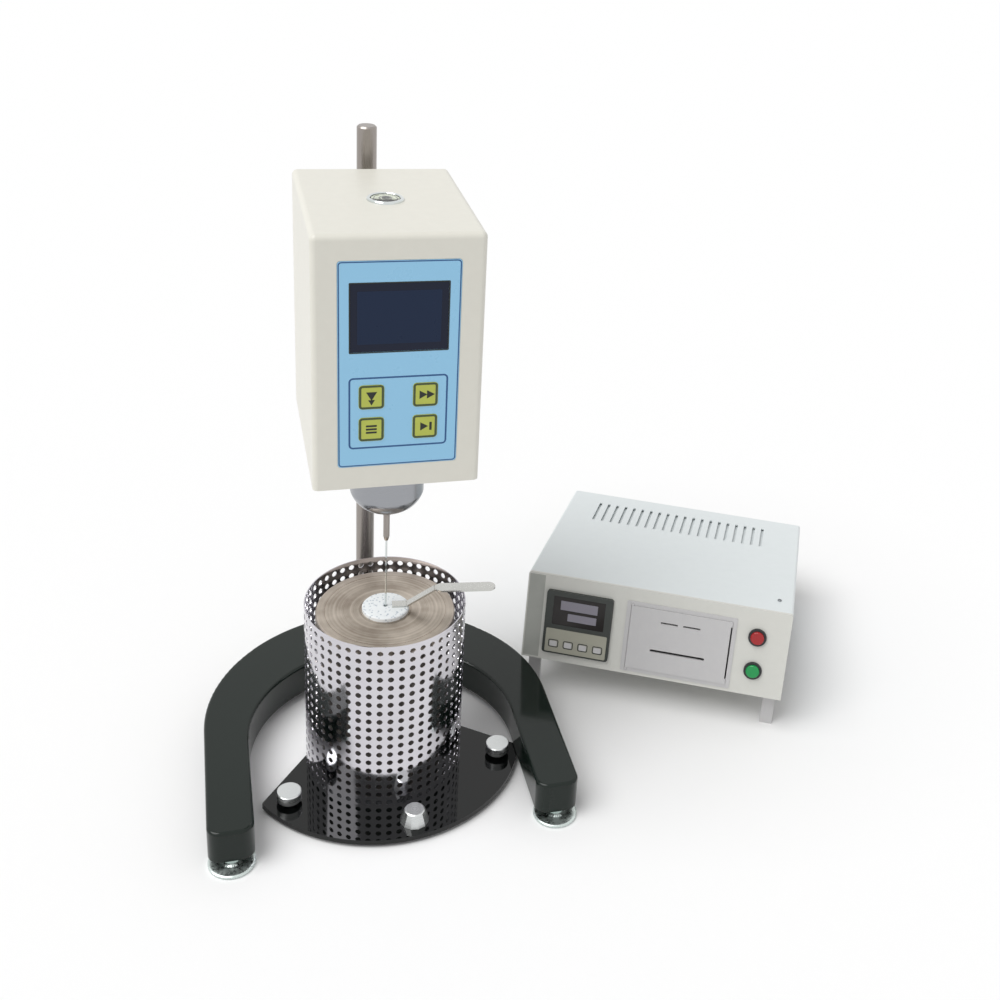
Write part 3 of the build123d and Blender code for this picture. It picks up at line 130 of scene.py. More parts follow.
@dataclass(frozen=True)
class Finish:
    """A surface finish of one real material.

    Attributes:
        name: The material's name.
        colour: Its sRGB colour.
        second: The sRGB colour it varies towards.
        metallic: 0 or 1.
        roughness: Typical roughness of the surface.
        spread: How far the roughness varies.
        grain_mm: Width of the pattern's features.
        depth_mm: Height of the pattern.
        patch_mm: Width of the broad patches over turned work, or 0 for none.
        coat: Weight of a clear coat.
        pattern: How the surface was made.
        axis: A point on the turning axis, for turned work.
        transmission: Share of the light that passes through.
        ior: Index of refraction of what isn't metal.
    """

    name: str
    colour: str
    second: str
    metallic: float = 0.0
    roughness: float = 0.4
    spread: float = 0.05
    grain_mm: float = 1.0
    depth_mm: float = 0.01
    patch_mm: float = 0.0
    coat: float = 0.0
    pattern: Pattern = Pattern.GRAINED
    axis: tuple[float, float] = (0.0, 0.0)
    transmission: float = 0.0
    ior: float = 1.5

    def coordinates(self, tree: bpy.types.NodeTree) -> Socket:
        """Give the coordinates that the pattern is laid out in.

        Args:
            tree: The material's node tree.

        Returns:
            A vector socket in metres, centred and stretched to suit the pattern.
        """
        place = add_node(tree, "ShaderNodeTexCoord").outputs["Object"]
        if self.pattern is Pattern.BRUSHED_Z:
            drawn = {"Vector": place, "Scale": (1, 1, 0.01)}
            return add_node(tree, "ShaderNodeMapping", {}, drawn).outputs[0]
        if self.pattern is Pattern.TURNED:
            shift = {"Vector": place, "Location": (-self.axis[0], -self.axis[1], 0)}
            moved = add_node(tree, "ShaderNodeMapping", {}, shift).outputs[0]
            parts = add_node(tree, "ShaderNodeSeparateXYZ", {}, {"Vector": moved})
            across = {"X": parts.outputs["X"], "Y": parts.outputs["Y"]}
            flat = add_node(tree, "ShaderNodeCombineXYZ", {}, across)
            reach = add_node(tree, "ShaderNodeVectorMath", {"operation": "LENGTH"}, {0: flat.outputs[0]})
            return add_node(
                tree, "ShaderNodeCombineXYZ", {}, {"X": reach.outputs["Value"], "Y": parts.outputs["Z"]}
            ).outputs[0]
        return place

    def patches(self, tree: bpy.types.NodeTree, tone: Socket) -> Socket:
        """Lay broad soft patches over the turning marks.

        Args:
            tree: The material's node tree.
            tone: The tone of the marks.

        Returns:
            The tone of both together.
        """
        flat = add_node(tree, "ShaderNodeTexCoord").outputs["Object"]
        broad = add_node(
            tree, "ShaderNodeTexNoise", {}, {"Vector": flat, "Scale": 1 / (self.patch_mm * MM), "Detail": 4.0}
        )
        both = add_node(
            tree, "ShaderNodeMix", {"data_type": "FLOAT"}, {"Factor": 0.5, 2: tone, 3: broad.outputs["Fac"]}
        )
        return add_node(
            tree,
            "ShaderNodeMapRange",
            {},
            {"Value": both.outputs[0], "From Min": 0.38, "From Max": 0.62},
        ).outputs[0]

    def build(self) -> bpy.types.Material:
        """Make the material.

        Returns:
            A node-based material.
        """
        made = bpy.data.materials.get(self.name)
        if made:
            return made
        made = bpy.data.materials.new(self.name)
        made.use_nodes = True
        tree = made.node_tree
        shader = tree.nodes["Principled BSDF"]
        shader.inputs["Metallic"].default_value = self.metallic
        shader.inputs["Coat Weight"].default_value = self.coat
        shader.inputs["Coat Roughness"].default_value = 0.04
        shader.inputs["Transmission Weight"].default_value = self.transmission
        if not self.metallic:
            shader.inputs["IOR"].default_value = self.ior
        place = self.coordinates(tree)
        scale = 1.0 / (self.grain_mm * MM)
        noise = add_node(
            tree,
            "ShaderNodeTexNoise",
            {},
            {"Vector": place, "Scale": scale, "Detail": 3.0, "Roughness": 0.6},
        )
        broad = {"Vector": place, "Scale": scale / 12, "Detail": 2.0, "Roughness": 0.5}
        cloud = add_node(tree, "ShaderNodeTexNoise", {}, broad)
        tone = cloud.outputs["Fac"]
        if self.pattern in (Pattern.TURNED, Pattern.BRUSHED_Z):
            tone = noise.outputs["Fac"]
        if self.patch_mm:
            tone = self.patches(tree, tone)
        if self.pattern is Pattern.SPECKLED:
            spots = add_node(
                tree, "ShaderNodeTexVoronoi", {"feature": "F1"}, {"Vector": place, "Scale": scale}
            )
            tone = add_node(
                tree,
                "ShaderNodeMapRange",
                {},
                {"Value": spots.outputs["Distance"], "From Min": 0.10, "From Max": 0.42},
            ).outputs[0]
        mixed = add_node(
            tree,
            "ShaderNodeMix",
            {"data_type": "RGBA"},
            {"Factor": tone, 6: linear(self.second), 7: linear(self.colour)},
        )
        tree.links.new(mixed.outputs[2], shader.inputs["Base Color"])
        rough = add_node(
            tree,
            "ShaderNodeMapRange",
            {},
            {
                "Value": noise.outputs["Fac"],
                "From Min": 0.3,
                "From Max": 0.7,
                "To Min": max(self.roughness - self.spread, 0.02),
                "To Max": self.roughness + self.spread,
            },
        )
        tree.links.new(rough.outputs[0], shader.inputs["Roughness"])
        if self.pattern is not Pattern.SMOOTH:
            bump = add_node(
                tree,
                "ShaderNodeBump",
                {},
                {"Height": noise.outputs["Fac"], "Strength": 0.6, "Distance": self.depth_mm * MM},
            )
            tree.links.new(bump.outputs[0], shader.inputs["Normal"])
        return made


# Each finish is a real material with the way its surface was made.
FURNACE_AXIS = (0.0, -0.158)
# Cast iron with a thick stoved enamel: near-black with a green tinge, as glossy as wet paint.
STOVED_ENAMEL = Finish("stoved_enamel_on_cast_iron", "17211c", "131b17", 0, 0.10, 0.03, 9.0, 0.02, ior=1.36)
# Polished black enamel on ground steel plate: a dark mirror.
BLACK_MIRROR = Finish(
    "polished_black_enamel", "060808", "090b0a", 0, 0.03, 0.01, 20.0, 0.0, pattern=Pattern.SMOOTH, ior=1.4
)
# Satin nickel plate on the turned feet.
SATIN_NICKEL = Finish("satin_nickel_plate", "dbe3e0", "b9c4c1", 1, 0.30, 0.10, 3.0, 0.02)
# Centreless-ground stainless bar: fine streaks along the bar.
GROUND_BAR = Finish(
    "ground_stainless_bar", "aaa49f", "88817c", 1, 0.30, 0.06, 0.5, 0.004, pattern=Pattern.BRUSHED_Z
)
# Bright nickel-chrome plate on turned feet and the level's ring.
BRIGHT_CHROME = Finish("bright_chrome_plate", "dfe3e2", "c9cfce", 1, 0.06, 0.02, 4.0, 0.002)
# Satin warm-white paint on the moulded head: a very fine orange peel.
WARM_WHITE = Finish("warm_white_satin_moulding", "dedcd2", "d9d7cd", 0, 0.36, 0.05, 0.8, 0.006)
# Light-blue screen-printed polyester film.
BLUE_FILM = Finish("light_blue_printed_film", "93c8e8", "8fc4e5", 0, 0.30, 0.04, 12.0, pattern=Pattern.SMOOTH)
# Dark blue ink printed on the film.
BLUE_INK = Finish("dark_blue_ink", "22548a", "1c4c80", 0, 0.35, 0.03, 2.0, 0.001)
# Black-tinted acrylic over the display.
TINTED_ACRYLIC = Finish(
    "tinted_acrylic", "151b2d", "181f33", 0, 0.12, 0.02, 15.0, 0.0, pattern=Pattern.SMOOTH, ior=1.3
)
# Smoked acrylic over the temperature module's displays.
SMOKED_ACRYLIC = Finish(
    "smoked_acrylic", "2b2827", "262322", 0, 0.15, 0.03, 15.0, 0.0, pattern=Pattern.SMOOTH, ior=1.35
)
# The liquid-crystal cell behind the tinted window.
DARK_CELL = Finish(
    "unlit_liquid_crystal", "1f2c46", "1c2940", 0, 0.30, 0.03, 15.0, 0.0, pattern=Pattern.SMOOTH, ior=1.25
)
# Yellow-green silicone keys.
KEY_GREEN = Finish("yellow_green_key", "b9c152", "aeb64a", 0, 0.42, 0.05, 0.8, 0.004)
# Dark olive ink of the keys' frames and signs.
KEY_INK = Finish("dark_key_ink", "151a10", "12160e", 0, 0.45, 0.05, 0.8, 0.002)
KEY_EDGE = Finish("olive_key_edge", "3f4d2a", "394626", 0, 0.45, 0.05, 0.8, 0.002)
# Turned aluminium with tool marks, clear anodised.
TURNED_ALLOY = Finish(
    "turned_anodised_aluminium", "bfc1c2", "a6a8ab", 1, 0.26, 0.05, 0.35, 0.006,
    pattern=Pattern.TURNED, axis=FURNACE_AXIS,
)
# Turned knobs, each about its own axis.
KNOB_ALLOY = Finish(
    "turned_knob", "dcdedd", "c4c7c7", 1, 0.30, 0.06, 0.8, 0.008, pattern=Pattern.TURNED, axis=FURNACE_AXIS
)
# The nose: spun and satin-turned alloy.
NOSE_ALLOY = Finish(
    "satin_turned_alloy", "a8aaae", "8f9196", 1, 0.24, 0.06, 0.5, 0.006,
    pattern=Pattern.TURNED, axis=FURNACE_AXIS,
)
# Satin stainless strip of the lid's handle.
HANDLE_STRIP = Finish("satin_stainless_strip", "cfcfcb", "bdbdb9", 1, 0.24, 0.06, 1.5, 0.004)
# Black-oxide screws.
DARK_SCREW = Finish("black_oxide_screw", "3c3d3f", "2f3032", 1, 0.35, 0.06, 1.0, 0.004)
# Bright annealed stainless sheet, nearly a mirror.
BRIGHT_SHEET = Finish("bright_annealed_sheet", "d8d6db", "c8c6cc", 1, 0.09, 0.03, 6.0, 0.003)
# Stainless sheet dulled by heat, behind the guard.
HEATED_SHEET = Finish("heat_dulled_sheet", "85807a", "6e6963", 1, 0.42, 0.08, 3.0, 0.01)
# Face-turned steel, warm with use: rings of fine tool marks.
FACED_STEEL = Finish(
    "face_turned_steel", "cac0b4", "988d81", 1, 0.33, 0.08, 2.0, 0.03, 26.0,
    pattern=Pattern.TURNED, axis=FURNACE_AXIS,
)
# White machinable ceramic with grey specks.
SPECKLED_CERAMIC = Finish(
    "speckled_white_ceramic", "f1f5f7", "b3bec8", 0, 0.45, 0.05, 3.0, 0.01, pattern=Pattern.SPECKLED
)
# Cool-grey powder coat of the controller's cover.
COOL_COAT = Finish("cool_grey_powder_coat", "dde3e4", "d9dfe0", 0, 0.38, 0.05, 0.9, 0.01)
# Beige-grey powder coat of the controller's front and tray.
BEIGE_COAT = Finish("beige_grey_powder_coat", "d5d5cf", "d0d0ca", 0, 0.42, 0.05, 0.9, 0.012)
# A darker grey strip beside the temperature module: painted shade on the controller's front.
PAINTED_SHADE_STRIP = Finish("painted_shade_grey", "b0b2ac", "a3a59f", 0, 0.42, 0.05, 0.9, 0.012)
# Pale grey moulded ABS of the printer.
PALE_ABS = Finish("pale_grey_moulded_abs", "c6c5c5", "c0bfc0", 0, 0.40, 0.05, 0.7, 0.008)
# Black moulded ABS, fine-grained.
BLACK_ABS = Finish("black_moulded_abs", "26282a", "1d1f21", 0, 0.45, 0.06, 0.6, 0.012)
# Charcoal bezel of the temperature module.
CHARCOAL_ABS = Finish("charcoal_moulded_abs", "3c403d", "343835", 0, 0.40, 0.06, 0.6, 0.008)
# Olive-grey key strip of the temperature module.
OLIVE_FILM = Finish("olive_grey_film", "a7a698", "a09f91", 0, 0.42, 0.05, 1.0, 0.003)
# Pale grey segments of the unlit displays.
PALE_BARS = Finish("unlit_display_bars", "8d8a94", "827f8a", 0, 0.35, 0.04, 2.0, 0.001)
# Glossy red and green caps.
RED_CAP = Finish("glossy_red_cap", "a81c20", "98171b", 0, 0.14, 0.03, 5.0, 0.002)
GREEN_CAP = Finish("glossy_green_cap", "0a9a50", "088c46", 0, 0.14, 0.03, 5.0, 0.002)
# Natural rubber pads.
BLACK_RUBBER = Finish("black_rubber", "1c1c1c", "252525", 0, 0.75, 0.08, 0.5, 0.02)
# Clear glass of the level's vial, over a yellow-green liquid.
LEVEL_GLASS = Finish(
    "level_glass", "f4f7ee", "f0f4e8", 0, 0.03, 0.01, 8.0, 0.0, pattern=Pattern.SMOOTH, transmission=1.0
)
LEVEL_LIQUID = Finish("level_liquid", "eceee6", "e6e9df", 0, 0.15, 0.02, 8.0, 0.0, pattern=Pattern.SMOOTH)
# Die-cast alloy, tumbled.
CAST_ALLOY = Finish("tumbled_cast_alloy", "8e9194", "7c7f82", 1, 0.42, 0.08, 1.2, 0.03)
# Inner parts.
CERAMIC_WOOL = Finish("ceramic_wool", "e6e1d6", "d6d0c4", 0, 0.9, 0.05, 1.5, 0.2)
GREEN_BOARD = Finish("circuit_board", "1c5a33", "18502c", 0, 0.35, 0.05, 1.5, 0.01)
BRONZE_STRIP = Finish("rolled_bronze", "b08a4e", "9c7840", 1, 0.28, 0.06, 0.5, 0.004)
DARK_LACQUER = Finish("dark_lacquered_steel", "3a3c40", "323438", 0, 0.35, 0.06, 1.5, 0.01)


# ------------------------------------------------------------------ mesh helpers


def finish_mesh(mesh: bmesh.types.BMesh, smooth_angle: float = 35.0) -> None:
    """Shade a mesh smooth and mark its hard edges.

    Args:
        mesh: The mesh to finish.
        smooth_angle: Edges sharper than this many degrees stay hard.
    """
    limit = math.radians(smooth_angle)
    for face in mesh.faces:
        face.smooth = True
    for edge in mesh.edges:
        edge.smooth = edge.is_manifold and edge.calc_face_angle(0.0) < limit


def make_piece(
    name: str,
    mesh: bmesh.types.BMesh,
    finishes: Sequence[Finish],
    body: str,
    nodes: Iterable[str] = (),
    smooth_angle: float = 35.0,
    weighted: bool = True,
) -> bpy.types.Object:
    """Turn a bmesh into a piece of the object.

    Args:
        name: The piece's name.
        mesh: Its mesh, with its place in it, in metres.
        finishes: Its materials, in the order of the faces' material numbers.
        body: The body that it rides on.
        nodes: CAD nodes that it stands for.
        smooth_angle: Edges sharper than this many degrees stay hard.
        weighted: Whether flat faces keep flat shading beside rounded ones.

    Returns:
        The new object.
    """
    finish_mesh(mesh, smooth_angle)
    data = bpy.data.meshes.new(name)
    mesh.to_mesh(data)
    mesh.free()
    piece = bpy.data.objects.new(name, data)
    bpy.context.scene.collection.objects.link(piece)
    for one in finishes:
        data.materials.append(one.build())
    if weighted:
        flat = piece.modifiers.new("flat_faces", "WEIGHTED_NORMAL")
        flat.keep_sharp = True
    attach(piece, body)
    if nodes:
        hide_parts(*nodes)
    log.info("made %s on %s", name, body)
    return piece


def merged_copy(node: str, flat_degrees: float = 0.3) -> bmesh.types.BMesh:
    """Copy a CAD node's mesh, merge it and dissolve its flat faces.

    Args:
        node: The node's name.
        flat_degrees: Neighbouring faces within this angle become one face.

    Returns:
        The merged copy.
    """
    mesh = bmesh.new()
    mesh.from_mesh(frame["nodes"][node].data)
    bmesh.ops.remove_doubles(mesh, verts=mesh.verts, dist=2e-6)
    bmesh.ops.dissolve_limit(
        mesh, angle_limit=math.radians(flat_degrees), verts=mesh.verts, edges=mesh.edges
    )
    return mesh


def polish(
    node: str,
    finishes: Sequence[Finish],
    smooth_angle: float = 35.0,
) -> bpy.types.Object:
    """Stand a smooth-shaded copy in for a CAD node.

    Args:
        node: The node's name.
        finishes: The materials of the copy.
        smooth_angle: Edges sharper than this many degrees stay hard.

    Returns:
        The copy.
    """
    body = frame["nodes"][node]["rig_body"]
    return make_piece(f"{node}_finished", merged_copy(node), finishes, body, [node], smooth_angle)


def dress(node: str, finish: Finish) -> None:
    """Give a CAD node its material.

    Args:
        node: The node's name.
        finish: Its finish.
    """
    data = frame["nodes"][node].data
    data.materials.clear()
    data.materials.append(finish.build())
    log.info("dressed %s", node)


def bevel(
    mesh: bmesh.types.BMesh, edges: Iterable[bmesh.types.BMEdge], width: float, segments: int = 2
) -> None:
    """Round edges.

    Args:
        mesh: The mesh.
        edges: The edges to round.
        width: The width of the round, in metres.
        segments: Its segments.
    """
    bmesh.ops.bevel(
        mesh,
        geom=list(edges),
        offset=width,
        offset_type="OFFSET",
        segments=segments,
        profile=0.5,
        affect="EDGES",
        clamp_overlap=True,
        material=-1,
    )


def turned_mesh(
    axis: tuple[float, float], outline: Sequence[tuple[float, float]], steps: int = 64
) -> bmesh.types.BMesh:
    """Spin an outline about an upright axis.

    Args:
        axis: X and Y of the axis, in metres.
        outline: Radius and height pairs in millimetres, from the bottom to the top.
        steps: Steps of the full turn.

    Returns:
        The turned mesh, closed where the outline ends on the axis.
    """
    mesh = bmesh.new()
    points = [mesh.verts.new((axis[0] + r * MM, axis[1], z * MM)) for r, z in outline]
    edges = [mesh.edges.new(pair) for pair in zip(points, points[1:])]
    bmesh.ops.spin(
        mesh,
        geom=points + edges,
        cent=(axis[0], axis[1], 0),
        axis=(0, 0, 1),
        angle=2 * math.pi,
        steps=steps,
        use_merge=True,
    )
    bmesh.ops.remove_doubles(mesh, verts=mesh.verts, dist=1e-6)
    bmesh.ops.recalc_face_normals(mesh, faces=mesh.faces)
    return mesh


def screw_mesh(place: Vector, towards: Vector, radius: float, height: float) -> bmesh.types.BMesh:
    """Make a cap screw's head with its socket.

    Args:
        place: The centre of its seat, in millimetres.
        towards: The direction that the head faces.
        radius: The head's radius in millimetres.
        height: The head's height.

    Returns:
        The screw's head.
    """
    edge = 0.12 * radius
    outline = [
        (radius, -0.05),
        (radius, height - edge),
        (radius - edge, height),
        (0.55 * radius, height),
        (0.5 * radius, height - 0.5 * edge),
        (0.5 * radius, 0.4 * height),
        (0, 0.4 * height),
    ]
    mesh = turned_mesh((0, 0), outline, 24)
    turn = towards.to_track_quat("Z", "Y").to_matrix().to_4x4()
    return placed(mesh, Matrix.Translation(place * MM) @ turn)


def plate_mesh(
    width: float, height: float, thickness: float, corner: float, hole: tuple[float, float] | None = None
) -> bmesh.types.BMesh:
    """Make a flat plate in the XY plane, with rounded corners and a hole if asked.

    Args:
        width: Size along X, in millimetres.
        height: Size along Y, in millimetres.
        thickness: Size along Z, in millimetres, from zero up.
        corner: Radius of the corners, in millimetres.
        hole: Width of the border that is left round the hole, and a second number that is not used.

    Returns:
        The plate, centred on the origin.
    """
    mesh = bmesh.new()
    bmesh.ops.create_grid(mesh, x_segments=1, y_segments=1, size=0.5)
    bmesh.ops.scale(mesh, vec=(width * MM, height * MM, 1), verts=mesh.verts)
    if corner:
        bmesh.ops.bevel(
            mesh,
            geom=list(mesh.verts),
            offset=corner * MM,
            offset_type="OFFSET",
            segments=5,
            profile=0.5,
            affect="VERTICES",
            clamp_overlap=True,
            material=-1,
        )
    if hole:
        inner = bmesh.ops.inset_region(
            mesh, faces=list(mesh.faces), thickness=hole[0] * MM, use_boundary=True, use_even_offset=True
        )
        keep = set(inner["faces"])
        bmesh.ops.delete(mesh, geom=[f for f in mesh.faces if f not in keep], context="FACES")
    grown = bmesh.ops.extrude_face_region(mesh, geom=list(mesh.faces))
    moved = [v for v in grown["geom"] if isinstance(v, bmesh.types.BMVert)]
    bmesh.ops.translate(mesh, vec=(0, 0, thickness * MM), verts=moved)
    bmesh.ops.recalc_face_normals(mesh, faces=mesh.faces)
    return mesh


def join(*parts: bmesh.types.BMesh) -> bmesh.types.BMesh:
    """Gather several meshes in one."""
    whole = bmesh.new()
    for part in parts:
        data = bpy.data.meshes.new("part")
        part.to_mesh(data)
        whole.from_mesh(data)
        part.free()
        bpy.data.meshes.remove(data)
    return whole


def placed(mesh: bmesh.types.BMesh, matrix: Matrix) -> bmesh.types.BMesh:
    """Move a mesh by a matrix and give it back."""
    bmesh.ops.transform(mesh, matrix=matrix, verts=mesh.verts)
    return mesh


def numbered(mesh: bmesh.types.BMesh, number: int) -> bmesh.types.BMesh:
    """Give every face one material number and give the mesh back."""
    for face in mesh.faces:
        face.material_index = number
    return mesh


# ------------------------------------------------------------------ the stand


@dataclass
class Stand:
    """The horseshoe base, its feet and the column."""

    feet: tuple[str, ...] = ("foot_left", "foot_right", "foot_rear")

    def build(self) -> None:
        """Make every piece of the stand."""
        polish("horseshoe_base", [STOVED_ENAMEL], smooth_angle=40)
        for foot in self.feet:
            polish(foot, [SATIN_NICKEL], smooth_angle=30)
        polish("column", [GROUND_BAR], smooth_angle=25)


# ------------------------------------------------------------------ the lift


@dataclass
class Lift:
    """The carriage behind the head, with its pinion and knobs."""

    flange_y: float = -26.4
    screw_places: tuple[tuple[float, float], ...] = ((-30, 437), (30, 437), (-30, 483), (30, 483))
    screw_radius: float = 3.5
    screw_height: float = 3.8

    def flange_screws(self) -> None:
        """Make the four cap screws that hold the head on the carriage."""
        heads = [
            screw_mesh(Vector((x, self.flange_y, z)), Vector((0, 1, 0)), self.screw_radius, self.screw_height)
            for x, z in self.screw_places
        ]
        make_piece("flange_screws", join(*heads), [DARK_SCREW], "head")

    def build(self) -> None:
        """Dress every piece of the lift."""
        polish("carriage", [CAST_ALLOY], smooth_angle=30)
        polish("lift_pinion", [GROUND_BAR], smooth_angle=25)
        polish("lift_knob", [BLACK_ABS], smooth_angle=30)
        polish("clamp_knob", [BLACK_ABS], smooth_angle=30)
        self.flange_screws()


# ------------------------------------------------------------------ the measuring head


@dataclass
class Head:
    """The measuring head with its front panel, keys and level."""

    front_y: float = -219.4
    bottom_z: float = 349.0
    panel_size: tuple[float, float] = (99.6, 183.4)
    panel_centre: float = 112.7
    panel_face: float = 0.2
    window_size: tuple[float, float] = (79.0, 59.0)
    window_centre: float = 155.5
    frame_size: tuple[float, float] = (82.0, 65.5)
    keys_centre: float = 70.5
    key_pitch: tuple[float, float] = (44.6, 29.6)
    key_size: tuple[float, float] = (21.0, 22.0)
    key_thickness: float = 1.3
    key_corner: float = 3.2
    key_edge: float = 0.25
    key_sunk: float = 0.6
    print_thickness: float = 0.12
    level_y: float = -128.0
    level_z: float = 575.0

    def on_front(self, x: float, z: float, out: float) -> Matrix:
        """Give the matrix that stands a flat piece on the head's front.

        Args:
            x: Its centre to the right, in millimetres.
            z: Its centre above the head's bottom.
            out: How far it stands out of the housing's face.

        Returns:
            The matrix.
        """
        move = Matrix.Translation(Vector((x, self.front_y - out, self.bottom_z + z)) * MM)
        return move @ Matrix.Rotation(math.radians(90), 4, "X")

    def printed_lines(self) -> None:
        """Make the printed lines on the front panel."""
        out = self.panel_face
        width, height = self.panel_size
        border = placed(
            plate_mesh(width - 1.0, height - 1.0, 0.06, 3.0, (1.0, 0)),
            self.on_front(0, self.panel_centre, out),
        )
        keys = placed(
            plate_mesh(self.frame_size[0], self.frame_size[1], 0.06, 3.8, (1.5, 0)),
            self.on_front(0, self.keys_centre, out),
        )
        make_piece("panel_lines", join(border, keys), [BLUE_INK], "head", weighted=False)
        rim = placed(
            plate_mesh(self.window_size[0] + 2.4, self.window_size[1] + 2.4, 0.08, 1.0, (1.0, 0.5)),
            self.on_front(0, self.window_centre, out),
        )
        make_piece("window_rim", rim, [KEY_INK], "head", weighted=False)
        cell = placed(
            plate_mesh(self.window_size[0] - 11, self.window_size[1] - 13, 0.05, 1.0),
            self.on_front(0, self.window_centre, 0.01),
        )
        make_piece("display_cell", cell, [DARK_CELL], "head", weighted=False)

    def keys(self) -> None:
        """Make the four keys with their frames and signs."""
        names = ("rotor_key", "speed_key", "print_key", "run_key")
        for index, name in enumerate(names):
            x = (index % 2 - 0.5) * self.key_pitch[0]
            z = self.keys_centre + (0.5 - index // 2) * self.key_pitch[1]
            width, height = self.key_size
            key = plate_mesh(width, height, self.key_thickness, self.key_corner)
            top = [e for e in key.edges if all(v.co.z > (self.key_thickness - 0.01) * MM for v in e.verts)]
            bevel(key, top, self.key_edge * MM)
            key = numbered(placed(key, self.on_front(x, z, -self.key_sunk)), 0)
            ring = plate_mesh(width - 0.6, height - 0.6, 0.1, 2.9, (1.9, 0))
            marks = join(numbered(ring, 1), numbered(self.sign(index), 2))
            placed(marks, self.on_front(x, z, 0.66))
            edge = plate_mesh(width + 3.4, height + 3.4, 0.05, 4.9, (1.65, 0))
            placed(edge, self.on_front(x, z, self.panel_face))
            make_piece(f"{name}_surround", edge, [BLUE_FILM], "head", weighted=False)
            finishes = [KEY_GREEN, KEY_EDGE, KEY_INK]
            make_piece(f"{name}_finished", join(key, marks), finishes, name, [name])

    def sign(self, index: int) -> bmesh.types.BMesh:
        """Make a key's sign: plain arrows and bars.

        Args:
            index: The key's number.

        Returns:
            A flat mesh round the origin.
        """
        thick = self.print_thickness
        if index == 0:
            parts = [self.arrow(5.2, thick, -90, (0, 2.0)), self.arrow(3.2, thick, -90, (0, -4.2))]
        elif index == 1:
            parts = [self.arrow(4.4, thick, 0, (-2.8, 0)), self.arrow(4.4, thick, 0, (3.4, 0))]
        elif index == 2:
            parts = [
                placed(plate_mesh(9.0, 1.7, thick, 0.4), Matrix.Translation((0, rise * MM, 0)))
                for rise in (-3, 0, 3)
            ]
        else:
            parts = [self.arrow(4.4, thick, 0, (-1.6, 0))]
            parts.append(placed(plate_mesh(2.0, 7.6, thick, 0.4), Matrix.Translation((4.8 * MM, 0, 0))))
        return join(*parts)

    def arrow(
        self, radius: float, thick: float, turn: float, place: tuple[float, float]
    ) -> bmesh.types.BMesh:
        """Make a triangular arrow head.

        Args:
            radius: Its size in millimetres.
            thick: Its thickness.
            turn: Its direction in degrees.
            place: Its centre.

        Returns:
            The mesh.
        """
        mesh = bmesh.new()
        bmesh.ops.create_cone(
            mesh, cap_ends=True, segments=3, radius1=radius * MM, radius2=radius * MM, depth=thick * MM
        )
        spun = Matrix.Rotation(math.radians(turn - 90), 4, "Z")
        lift = Matrix.Translation(Vector((place[0], place[1], thick / 2)) * MM)
        return placed(mesh, lift @ spun)

    def level(self) -> None:
        """Make the bull's-eye level: a chromed ring, glass, liquid and its bubble."""
        axis = (0.0, self.level_y * MM)
        z = self.level_z
        ring_outline = [
            (12.6, z - 4),
            (12.6, z + 1.4),
            (13.2, z + 2.0),
            (14.8, z + 2.0),
            (15.8, z + 1.2),
            (16.0, z + 0.02),
        ]
        ring = turned_mesh(axis, ring_outline)
        make_piece("level_ring_finished", ring, [BRIGHT_CHROME], "head", ["level_ring"])
        glass_outline = [
            (0, z + 0.2),
            (12.3, z + 0.2),
            (12.4, z + 0.6),
            (11.9, z + 1.2),
            (8, z + 1.6),
            (0, z + 1.75),
        ]
        glass = turned_mesh(axis, glass_outline)
        make_piece("level_glass", glass, [LEVEL_GLASS], "head", weighted=False)
        liquid = turned_mesh(axis, [(0, z - 8.8), (12.4, z - 8.8), (12.4, z + 0.1), (0, z + 0.1)])
        make_piece("level_liquid", liquid, [LEVEL_LIQUID], "head", ["level_vial"])
        marks = turned_mesh(axis, [(9.6, z + 0.1), (9.6, z + 0.17), (10.6, z + 0.17), (10.6, z + 0.1)])
        inner = turned_mesh(axis, [(4.2, z + 0.1), (4.2, z + 0.17), (5.8, z + 0.17), (5.8, z + 0.1)])
        off_centre = (axis[0] + 0.5 * MM, axis[1] + 0.8 * MM)
        bubble = turned_mesh(off_centre, [(0, z + 0.1), (3.6, z + 0.1), (3.4, z + 0.3), (0, z + 0.5)])
        make_piece("level_marks", join(marks, inner, bubble), [BLACK_ABS], "head")

    def build(self) -> None:
        """Make every piece of the head."""
        polish("head_housing", [WARM_WHITE], smooth_angle=40)
        polish("head_base_plate", [WARM_WHITE])
        polish("control_panel", [BLUE_FILM], smooth_angle=30)
        polish("lcd_window", [TINTED_ACRYLIC])
        self.printed_lines()
        self.keys()
        self.level()
        polish("nose_cup", [NOSE_ALLOY], smooth_angle=30)
        for node, finish in (
            ("display_board", GREEN_BOARD),
            ("spindle_bearings", GROUND_BAR),
            ("drive_frame", TURNED_ALLOY),
            ("drive_motor", DARK_LACQUER),
        ):
            dress(node, finish)


# ------------------------------------------------------------------ the spindle


@dataclass
class Spindle:
    """Everything that turns under the motor."""

    def build(self) -> None:
        """Dress every piece of the spindle."""
        polish("spindle_coupling", [GROUND_BAR], smooth_angle=30)
        polish("hanging_rod", [BRIGHT_CHROME], smooth_angle=30)
        polish("rotor_bob", [GROUND_BAR], smooth_angle=30)
        for node, finish in (
            ("spindle_shaft", GROUND_BAR),
            ("encoder_disc", BLACK_ABS),
            ("torque_spring", BRONZE_STRIP),
            ("spring_driver", GROUND_BAR),
        ):
            dress(node, finish)


# ------------------------------------------------------------------ the furnace


